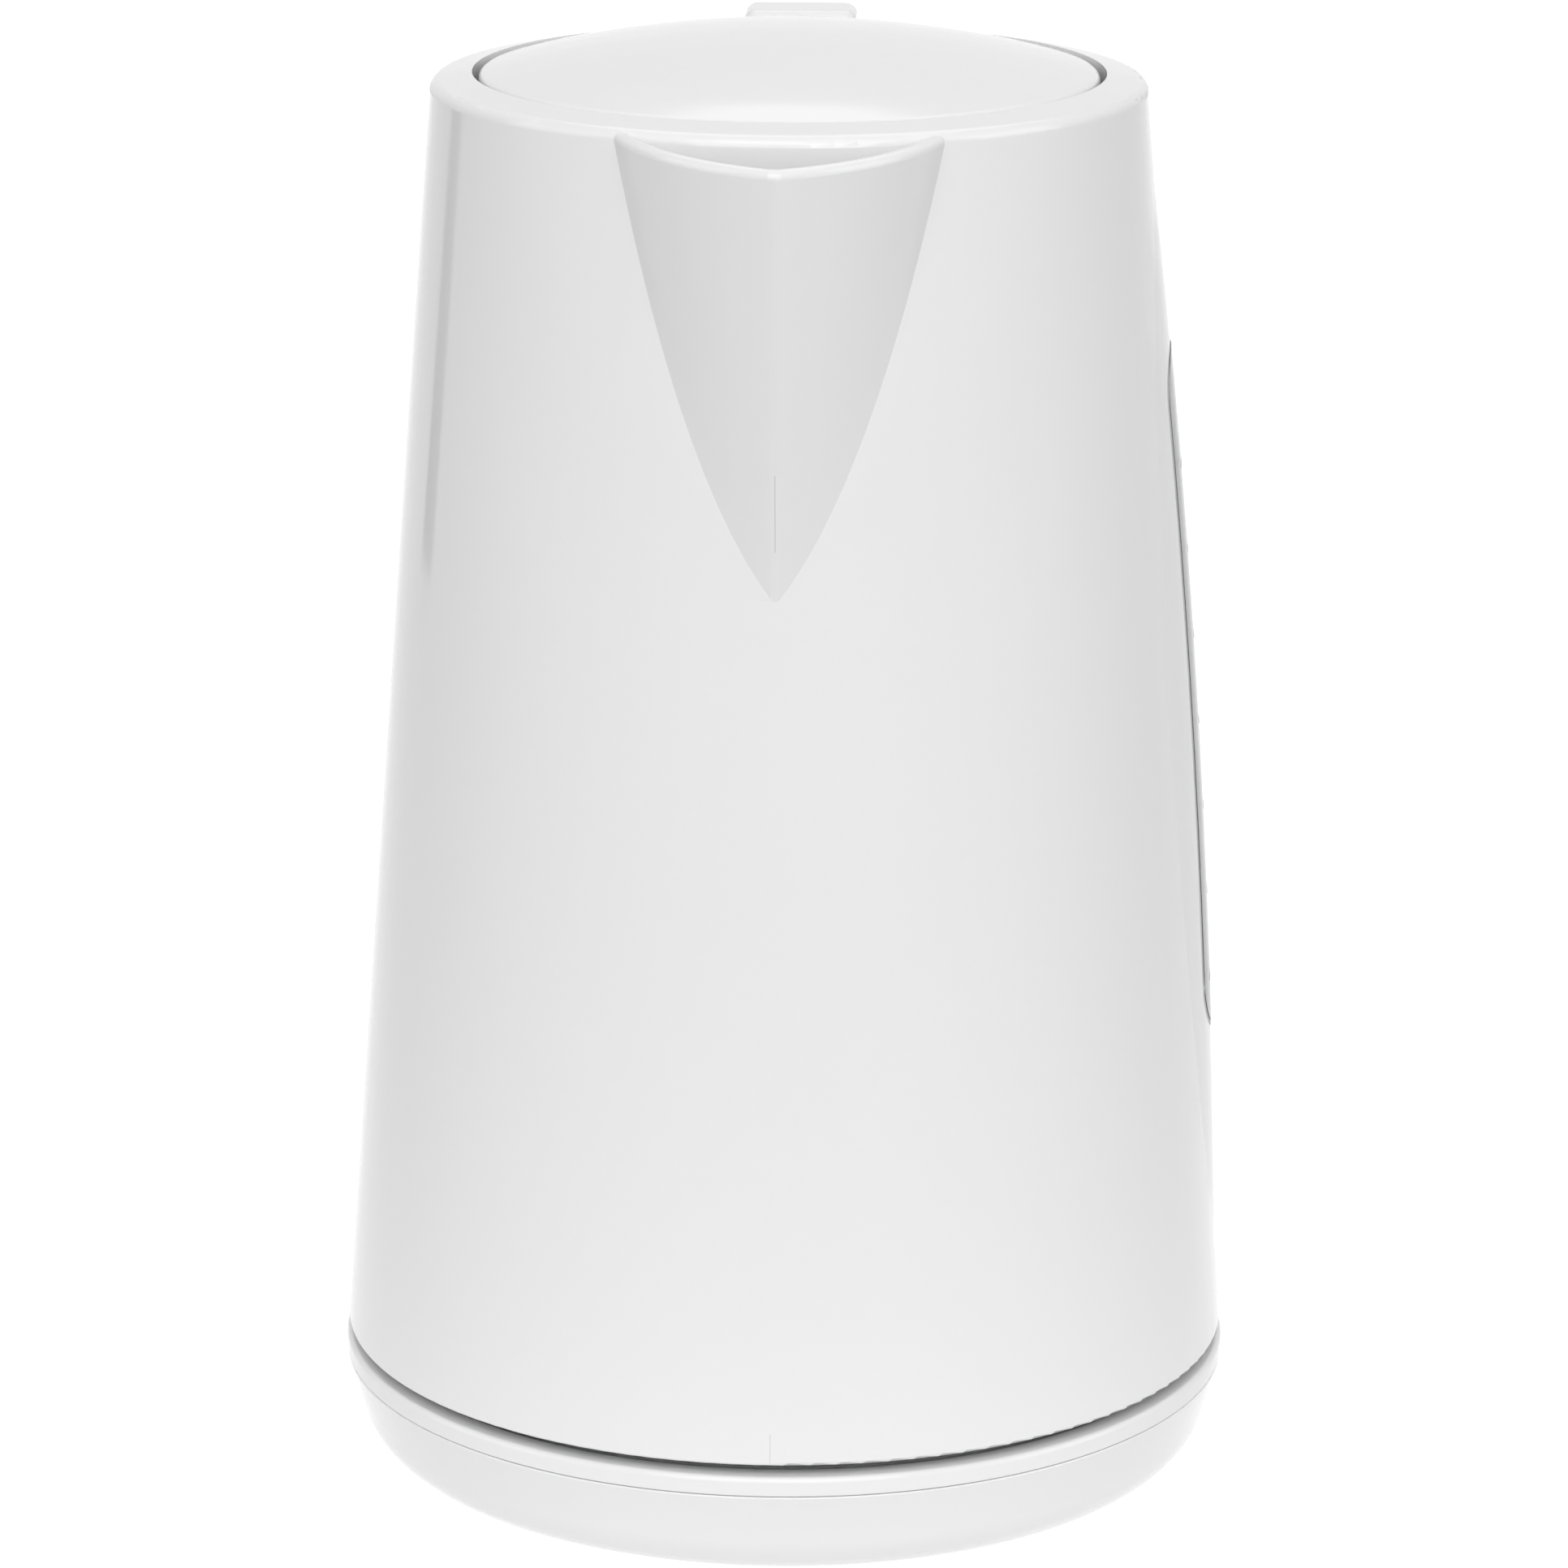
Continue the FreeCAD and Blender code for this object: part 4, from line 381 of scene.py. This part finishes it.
dress(jug_white, "jug_body")

# Water gauge: a lens of cloudy smoke-grey plastic, moulded to the swell of the wall and glued in.
# A pale grey rubber gasket lies round its edge, so a thin line frames it.
smoke_clear = finish(
    "smoke_clear",
    colour=(0.33, 0.34, 0.35),
    patch=(0.31, 0.32, 0.33),
    patch_scale=30.0,
    gloss=(0.05, 0.1),
    grain_scale=300.0,
    grain_depth=0.01,
    IOR=1.49,
    Transmission_Weight=0.7,
)
dress(smoke_clear, "gauge_window")
gasket_rubber = finish(
    "gasket_rubber",
    colour=(0.6, 0.602, 0.606),
    patch=(0.64, 0.642, 0.646),
    patch_scale=60.0,
    gloss=(0.55, 0.7),
    grain_scale=1500.0,
    grain_depth=0.3,
)
dress(gasket_rubber, "gauge_gasket")

# Level marks: short bars printed on the lens in white ink,
# evenly spaced from the lowest to the highest filling.
# The print stands a few hundredths of a millimetre proud of the lens.
wall_foot_radius = 0.07575
wall_slope = 0.075765
swell_level = 0.129
jug_foot_level = 0.022
swell_bulge = 0.0022
swell_length_radius = 1.966
swell_round_radius = 0.040
lens_proud = 0.00015
mark_count = 7
mark_spacing = 0.015
mark_half_height = 0.0005
mark_half_width = 0.0022
end_mark_half_width = 0.0045
mark_thickness = 0.00004
mark_rows = 3
mark_columns = 9


def lens_surface(along, across, proud):
    """The lens: a long flat arc up the wall, turned about a line that runs parallel to the wall.

    along is measured up the wall from the swell's middle, across round the swell, proud out of the lens."""
    lift = np.sqrt(swell_length_radius**2 - along**2) - swell_length_radius
    radius = swell_round_radius + lift + lens_proud + proud
    out = swell_bulge - swell_round_radius + np.sqrt(radius**2 - across**2)
    upright = 1.0 / math.sqrt(1.0 + wall_slope**2)
    wall_radius = wall_foot_radius - wall_slope * (swell_level - jug_foot_level)
    x = wall_radius + (out - along * wall_slope) * upright
    z = swell_level + (along + out * wall_slope) * upright
    return np.stack([x, across, z], axis=-1)


def mark_plate(middle, half_width):
    """One printed bar: a grid over the lens and a copy sunk into the lens, joined round their border."""
    up, side = np.meshgrid(
        np.linspace(-mark_half_height, mark_half_height, mark_rows) + middle,
        np.linspace(-half_width, half_width, mark_columns),
        indexing="ij",
    )
    over = lens_surface(up, side, mark_thickness).reshape(-1, 3)
    sunk = lens_surface(up, side, -mark_thickness).reshape(-1, 3)
    grid = np.arange(len(over)).reshape(mark_rows, mark_columns)
    cells = np.stack([grid[:-1, :-1], grid[:-1, 1:], grid[1:, 1:], grid[1:, :-1]], axis=-1).reshape(-1, 4)
    border = np.concatenate([grid[0, :], grid[1:, -1], grid[-1, -2::-1], grid[-2:0:-1, 0]])
    after = np.roll(border, -1)
    walls = np.stack([border, border + len(over), after + len(over), after], axis=-1)
    return np.concatenate([over, sunk]), [cells, cells[:, ::-1] + len(over), walls]


def add_piece(name, parts, material, body):
    """Joins parts, each an array of points and a list of faces, into one smooth piece that rides on a body.

    A piece that bends between two bodies rides on neither, so its body is None."""
    points = np.concatenate([part_points for part_points, part_faces in parts])
    faces = []
    start = 0
    for part_points, part_faces in parts:
        for block in part_faces:
            faces.extend((block + start).tolist())
        start += len(part_points)
    mesh = bpy.data.meshes.new(name)
    mesh.from_pydata(points.tolist(), [], faces)
    mesh.polygons.foreach_set("use_smooth", np.ones(len(faces), dtype=bool))
    mesh.materials.append(material)
    mesh.update()
    piece = bpy.data.objects.new(name, mesh)
    scene.collection.objects.link(piece)
    if body:
        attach(piece, body)
    return piece


white_ink = finish(
    "white_ink",
    colour=(0.82, 0.82, 0.82),
    patch=(0.76, 0.76, 0.76),
    patch_scale=400.0,
    gloss=(0.4, 0.55),
    grain_scale=3000.0,
    grain_depth=0.15,
)
mark_middles = (np.arange(mark_count) - (mark_count - 1) / 2) * mark_spacing
mark_half_widths = np.full(mark_count, mark_half_width)
mark_half_widths[[0, -1]] = end_mark_half_width
mark_plates = [mark_plate(middle, half_width) for middle, half_width in zip(mark_middles, mark_half_widths)]
add_piece("level_marks", mark_plates, white_ink, "jug")

# Heater seal: a ring of pale silicone, moulded, squeezed between the plate's flange and the jug's shoulder.
# It is dull, and a little paler in patches.
pale_silicone = finish(
    "pale_silicone",
    colour=(0.58, 0.58, 0.55),
    patch=(0.64, 0.64, 0.62),
    patch_scale=50.0,
    gloss=(0.45, 0.6),
    grain_scale=1000.0,
    grain_depth=0.1,
)
dress(pale_silicone, "plate_seal")

# Heating plate: the floor of the water space, pressed from stainless steel and brushed on a lathe.
# A spring-steel clamp ring snaps in below and holds it up against the seal.
brushed_steel = finish(
    "brushed_steel",
    colour=(0.6, 0.595, 0.585),
    patch=(0.54, 0.535, 0.53),
    patch_scale=40.0,
    gloss=(0.2, 0.4),
    grain_scale=900.0,
    grain_depth=0.1,
    Metallic=1.0,
)
turn_rings(brushed_steel, ring_scale=1400.0, ring_depth=0.3, gloss=(0.18, 0.36))
dress(brushed_steel, "heating_plate", "plate_clamp_ring")

# Heat spreader and element: a rolled aluminium disc brazed under the plate,
# with a tube element brazed to it. The brazing leaves a grey, grainy skin.
brazed_aluminium = finish(
    "brazed_aluminium",
    colour=(0.6, 0.6, 0.61),
    patch=(0.5, 0.5, 0.51),
    patch_scale=200.0,
    gloss=(0.35, 0.52),
    grain_scale=1500.0,
    grain_depth=0.35,
    Metallic=1.0,
)
dress(brazed_aluminium, "heat_spreader", "heating_element")

# Control block and socket: black nylon mouldings under the element that take the current from the turret.
# They have the same fine grain as the turret.
dress(black_nylon, "control_unit", "jug_socket")

# Underside cover: a grey polypropylene disc that closes the jug's foot, with a ring to stand on.
# It is satin, with a faint moulded grain.
grey_satin = finish(
    "grey_satin",
    colour=(0.34, 0.35, 0.36),
    patch=(0.38, 0.39, 0.4),
    patch_scale=30.0,
    gloss=(0.32, 0.46),
    grain_scale=1200.0,
    grain_depth=0.14,
)
dress(grey_satin, "underside_cover")

# Spout filter: a grey polypropylene frame that slides down behind the spout, with nylon mesh moulded in.
# The mesh is a plain weave of white thread, each thread over one and under the next.
dress(grey_satin, "spout_filter_frame")
thread_spacing = 0.0012
thread_tail = 0.4
steps_per_crossing = 4
thread_sides = 6
radii_across_sheet = 4.0


def tube_parts(paths, outs, radius, sides):
    """Round tubes along paths: rings of points square to each path, joined by quads, closed by fans.

    paths and outs are arrays of tube, point and axis; outs are unit directions square to the path."""
    tangents = np.gradient(paths, axis=1)
    tangents /= np.linalg.norm(tangents, axis=2, keepdims=True)
    sideways = np.cross(tangents, outs)
    turn = np.arange(sides) * (2.0 * math.pi / sides)
    rings = paths[:, :, None] + radius * (
        np.cos(turn)[:, None] * outs[:, :, None] + np.sin(turn)[:, None] * sideways[:, :, None]
    )
    count, length = paths.shape[:2]
    grid = np.arange(count * length * sides).reshape(count, length, sides)
    after = np.roll(grid, -1, axis=2)
    quads = np.stack([grid[:, :-1], after[:, :-1], after[:, 1:], grid[:, 1:]], axis=-1).reshape(-1, 4)
    middles = count * length * sides + np.arange(count * 2).reshape(count, 2, 1)
    first = np.stack([np.broadcast_to(middles[:, 0], after[:, 0].shape), after[:, 0], grid[:, 0]], axis=-1)
    last = np.stack([np.broadcast_to(middles[:, 1], grid[:, -1].shape), grid[:, -1], after[:, -1]], axis=-1)
    points = np.concatenate([rings.reshape(-1, 3), paths[:, [0, -1]].reshape(-1, 3)])
    return points, [quads, first.reshape(-1, 3), last.reshape(-1, 3)]


def weave_threads(low, high, runs_up, radius):
    """Half of a plain weave in an upright sheet: parallel threads that swing to and fro across the sheet.

    Each thread is half a wave behind the one beside it, and the crossing threads swing the opposite way."""
    along_axis, beside_axis = (2, 0) if runs_up else (0, 2)
    lengths = high - low
    counts = np.floor((lengths - 2.0 * radius) / thread_spacing).astype(int)
    starts = low + (lengths - counts * thread_spacing) / 2.0
    crossings = counts[along_axis]
    step_count = int((crossings + 2.0 * thread_tail) * steps_per_crossing) + 1
    line = np.arange(counts[beside_axis] + 1)
    step = np.linspace(-thread_tail, crossings + thread_tail, step_count)
    line, step = np.meshgrid(line, step, indexing="ij")
    swing = radius * np.cos(math.pi * (line + step)) * (1.0 if runs_up else -1.0)
    paths = np.zeros(line.shape + (3,))
    paths[..., along_axis] = starts[along_axis] + step * thread_spacing
    paths[..., beside_axis] = starts[beside_axis] + line * thread_spacing
    paths[..., 1] = (low[1] + high[1]) / 2.0 + swing
    outs = np.zeros_like(paths)
    outs[..., beside_axis] = 1.0
    return tube_parts(paths, outs, radius, thread_sides)


white_thread = finish(
    "white_thread",
    colour=(0.74, 0.74, 0.73),
    patch=(0.66, 0.66, 0.65),
    patch_scale=300.0,
    gloss=(0.35, 0.5),
    grain_scale=2500.0,
    grain_depth=0.2,
)
low, high = (np.array(corner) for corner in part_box("filter_mesh"))
thread_radius = (high[1] - low[1]) / radii_across_sheet
threads = [weave_threads(low, high, runs_up, thread_radius) for runs_up in (True, False)]
filter_weave = add_piece("filter_weave", threads, white_thread, "jug")
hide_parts("filter_mesh")

# Handle: an inner frame screwed to the jug and an outer cover clipped over it, both white like the jug.
# The thumb button at the head of the handle is the same moulding material.
dress(white_gloss, "handle_frame", "handle_cover", "release_button")

# Steam tube and switch: a grey tube leads steam down the handle to a snap disc in a black block.
# The disc trips the grey rocker lever under the handle, which turns on a steel pin.
dress(grey_satin, "steam_tube", "switch_lever")
dress(black_nylon, "steam_switch")
drawn_steel = finish(
    "drawn_steel",
    colour=(0.58, 0.58, 0.57),
    patch=(0.5, 0.5, 0.5),
    patch_scale=120.0,
    gloss=(0.16, 0.3),
    grain_scale=3000.0,
    grain_depth=0.06,
    Metallic=1.0,
)
dress(drawn_steel, "switch_pin", "bimetal_disc")

# Latch and its spring: a grey sliding bar that holds the lid's catch, pressed forward by a coil spring.
# The spring is wound from drawn steel wire and sits between the bar's end and a stop in the handle,
# against which the bar presses it shorter as it slides back.
dress(grey_satin, "lid_latch")
points_per_turn = 32
wire_sides = 12


def coil_path(turns, pitch, radius):
    """A helix along +X about the X axis: the angle grows evenly, with the way outwards at each point."""
    angle = np.linspace(0.0, 2.0 * math.pi * turns, points_per_turn * turns + 1)
    outs = np.stack([np.zeros_like(angle), np.cos(angle), np.sin(angle)], axis=-1)
    spots = radius * outs
    spots[:, 0] = pitch * angle / (2.0 * math.pi)
    return spots, outs


latch_wire = 0.0004
latch_pitch = 0.0015
latch_turns = 5
x_and_y_swapped = [1, 0, 2]
low, high = (np.array(corner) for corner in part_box("latch_spring"))
latch_coil_radius = (high[0] - low[0]) / 2.0 - latch_wire
spots, outs = coil_path(latch_turns, latch_pitch, latch_coil_radius)
coil_start = (low + high) / 2.0
coil_start[1] = low[1] + latch_wire
spots = spots[:, x_and_y_swapped] + coil_start
outs = -outs[:, x_and_y_swapped]
latch_turns_part = tube_parts(spots[None], outs[None], latch_wire, wire_sides)
latch_coil = add_piece("latch_coil", [latch_turns_part], drawn_steel, "jug")
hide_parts("latch_spring")
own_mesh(latch_coil)

# Lid: a domed white cover clipped to a white underside, which carries the catch and the hinge knuckles.
# It turns on a steel pin that runs through the block at the back of the rim.
dress(white_gloss, "lid_cover", "lid_base")
dress(drawn_steel, "lid_hinge_pin")

# Lid spring: a torsion spring of drawn steel wire wound round the hinge pin, which throws the lid open.
# Its leg at the front turns with the lid, its leg at the back bears on the rim's block,
# and the turns between them wind up as the lid closes.
lid_wire = 0.00035
lid_pitch = 0.0012
lid_turns = 10
lid_leg = 0.003
leg_points = 6
quarter_turn = np.array([[1.0, 0.0, 0.0], [0.0, 0.0, 1.0], [0.0, -1.0, 0.0]])
low, high = (np.array(corner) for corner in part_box("lid_spring"))
lid_coil_radius = (high[2] - low[2]) / 2.0 - lid_wire
spots, outs = coil_path(lid_turns, lid_pitch, lid_coil_radius)
heading = np.array([lid_pitch / (2.0 * math.pi), 0.0, lid_coil_radius])
heading /= np.linalg.norm(heading)
leg = np.linspace(lid_leg, 0.0, leg_points, endpoint=False)[:, None] * heading
spots = np.concatenate([spots[0] - leg, spots, spots[-1] + leg[::-1]])
outs = np.concatenate([outs[[0] * leg_points], outs, outs[[-1] * leg_points]])
coil_start = (low + high) / 2.0
coil_start[0] = -lid_pitch * lid_turns / 2.0
spots = spots @ quarter_turn.T + coil_start
outs = outs @ quarter_turn.T
lid_turns_part = tube_parts(spots[None], outs[None], lid_wire, wire_sides)
lid_coil = add_piece("lid_coil", [lid_turns_part], drawn_steel, None)
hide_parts("lid_spring")
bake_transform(lid_coil)


# Floor: a plain white sheet of paper that runs out of the picture and keeps the kettle's soft shadow.
# Round the base the sheet itself glows for the light that falls on things, though no lamp is below it:
# a painted glow that brightens the base and the foot of the jug. Where the sheet is seen it glows, so that
# it reads as white.
def add_sheet(name, corners, material):
    """A flat sheet of the studio with four corners."""
    mesh = bpy.data.meshes.new(name)
    mesh.from_pydata(corners, [], [(0, 1, 2, 3)])
    mesh.materials.append(material)
    made = bpy.data.objects.new(name, mesh)
    scene.collection.objects.link(made)
    return made


def seen_directly(tree):
    """A mask that is 1 for camera, mirror and see-through rays, and 0 for light that falls on things."""
    path = add_node(tree, "LightPath")
    mirrored = add_node(tree, "Math", operation="MAXIMUM")
    through = add_node(tree, "Math", operation="MAXIMUM")
    link(
        tree,
        path.outputs["Is Camera Ray"], mirrored.inputs[0],
        path.outputs["Is Glossy Ray"], mirrored.inputs[1],
        mirrored.outputs[0], through.inputs[0],
        path.outputs["Is Transmission Ray"], through.inputs[1],
    )
    return through.outputs[0]


floor_reach = 6.0
floor_grey = (0.4, 0.4, 0.4, 1.0)
seen_glow = 0.85
# Painted glow: the sheet itself gives this much light round the base, with no lamp there, and it fades out
# between the two distances on the next line.
painted_base_glow = 0.46
painted_glow_fade = (0.17, 0.23)
paper = bpy.data.materials.new("white_paper")
paper.use_nodes = True
tree = paper.node_tree
tree.nodes.remove(tree.nodes["Principled BSDF"])
matte = add_node(tree, "BsdfDiffuse")
glow = add_node(tree, "Emission")
place = add_node(tree, "TexCoord")
distance = add_node(tree, "VectorMath", operation="LENGTH")
under = add_node(tree, "MapRange")
shown = add_node(tree, "Math", operation="MULTIPLY")
brighter = add_node(tree, "Math", operation="MAXIMUM")
both = add_node(tree, "AddShader")
set_inputs(matte, {"Color": floor_grey})
set_inputs(under, {"From Min": painted_glow_fade[0], "From Max": painted_glow_fade[1]})
set_inputs(under, {"To Min": painted_base_glow, "To Max": 0.0})
set_inputs(shown, {1: seen_glow})
link(
    tree,
    place.outputs["Object"], distance.inputs[0],
    distance.outputs["Value"], under.inputs["Value"],
    seen_directly(tree), shown.inputs[0],
    shown.outputs[0], brighter.inputs[0],
    under.outputs["Result"], brighter.inputs[1],
    brighter.outputs[0], glow.inputs["Strength"],
    matte.outputs[0], both.inputs[0],
    glow.outputs[0], both.inputs[1],
    both.outputs[0], tree.nodes["Material Output"].inputs["Surface"],
)
floor_corners = [(x * floor_reach, y * floor_reach, 0.0) for x, y in ((-1, -1), (1, -1), (1, 1), (-1, 1))]
floor = add_sheet("floor", floor_corners, paper)

# Grey card: a strip of grey paper that lies on the floor behind the jug's left side, out of the picture.
# It is there for the gloss alone, in which it leaves the darker streak along the jug's left edge.
card_direction = math.radians(128.0)
card_near, card_far = 0.9, 2.6
card_spread = math.tan(math.radians(4.0))
card_lift = 0.001
card_grey = (0.3, 0.3, 0.3, 1.0)
grey_paper = bpy.data.materials.new("grey_paper")
grey_paper.use_nodes = True
set_inputs(grey_paper.node_tree.nodes["Principled BSDF"], {"Base Color": card_grey})
along = np.array([-math.sin(card_direction), -math.cos(card_direction), 0.0])
beside = np.array([along[1], -along[0], 0.0]) * card_spread
card_corners = [
    ((along + beside * side) * reach + (0.0, 0.0, card_lift)).tolist()
    for reach, side in ((card_near, -1), (card_far, -1), (card_far, 1), (card_near, 1))
]
card = add_sheet("grey_card", card_corners, grey_paper)
card.visible_camera = False
card.visible_diffuse = False
card.visible_transmission = False
card.visible_shadow = False

# Tent: even white light from all round, as through white cloth.
# It is white where it is seen and softer where it only lights.
tent_white = (1.0, 1.0, 1.0, 1.0)
tent_light = 0.28
seen_light = 1.0
world = bpy.data.worlds.new("white_tent")
world.use_nodes = True
scene.world = world
tree = world.node_tree
lit = tree.nodes["Background"]
seen = add_node(tree, "Background")
choose = add_node(tree, "MixShader")
set_inputs(lit, {"Color": tent_white, "Strength": tent_light})
set_inputs(seen, {"Color": tent_white, "Strength": seen_light})
link(
    tree,
    seen_directly(tree), choose.inputs["Fac"],
    lit.outputs[0], choose.inputs[1],
    seen.outputs[0], choose.inputs[2],
    choose.outputs[0], tree.nodes["World Output"].inputs["Surface"],
)

# Lamps: large soft boxes above and all round, aimed at the middle of the jug.
# Each row gives a name, a place in metres, the side of the square box, its power in watts
# and whether it shows in the gloss: the low one behind the handle would leave a hot spot on the lid.
lamp_aim = Vector((0.0, 0.0, 0.13))
for label, spot, side, power, in_gloss in (
    ("top_box", (0.0, -1.1, 1.7), 1.2, 5.0, True),
    ("front_box", (0.0, -1.6, 1.1), 2.0, 22.5, True),
    ("right_box", (1.7, -0.3, 0.9), 1.2, 6.7, True),
    ("left_box", (-1.7, -0.3, 0.9), 1.2, 4.5, True),
    ("back_box", (0.0, 1.0, 1.7), 1.2, 3.7, True),
    ("rear_box", (0.0, 2.0, 0.25), 0.8, 12.0, False),
):
    lamp_data = bpy.data.lights.new(label, "AREA")
    lamp_data.shape = "SQUARE"
    lamp_data.size = side
    lamp_data.energy = power
    lamp = bpy.data.objects.new(label, lamp_data)
    aim = (lamp_aim - Vector(spot)).to_track_quat("-Z", "Y")
    lamp.matrix_world = Matrix.Translation(spot) @ aim.to_matrix().to_4x4()
    lamp.visible_glossy = in_gloss
    scene.collection.objects.link(lamp)

# Camera: stands a metre in front of the spout, a little above the lid, turned slightly to the gauge side.
# Its lens, height, pitch and roll come from the outline of the jug, the lid gap and the base.
camera_place = (-0.00042, -1.034618, 0.404583)
camera_pitch = 0.2715646
camera_roll = 0.004182
camera_turn = math.radians(1.7)
camera_lens = 144.5
sensor_width = 36.0
farthest_seen = 50.0
ahead = Vector((0.0, math.cos(camera_pitch), -math.sin(camera_pitch)))
above = Vector((0.0, math.sin(camera_pitch), math.cos(camera_pitch)))
right = Vector((1.0, 0.0, 0.0))
rolled_right = right * math.cos(camera_roll) + above * math.sin(camera_roll)
rolled_above = above * math.cos(camera_roll) - right * math.sin(camera_roll)
stand = Matrix((rolled_right, rolled_above, -ahead)).transposed().to_4x4()
stand.translation = camera_place
camera_data = bpy.data.cameras.new("front_camera")
camera_data.sensor_width = sensor_width
camera_data.lens = camera_lens
camera_data.clip_end = farthest_seen
camera = bpy.data.objects.new("front_camera", camera_data)
camera.matrix_world = Matrix.Rotation(camera_turn, 4, "Z") @ stand
scene.collection.objects.link(camera)
scene.camera = camera
scene.view_settings.view_transform = "Standard"
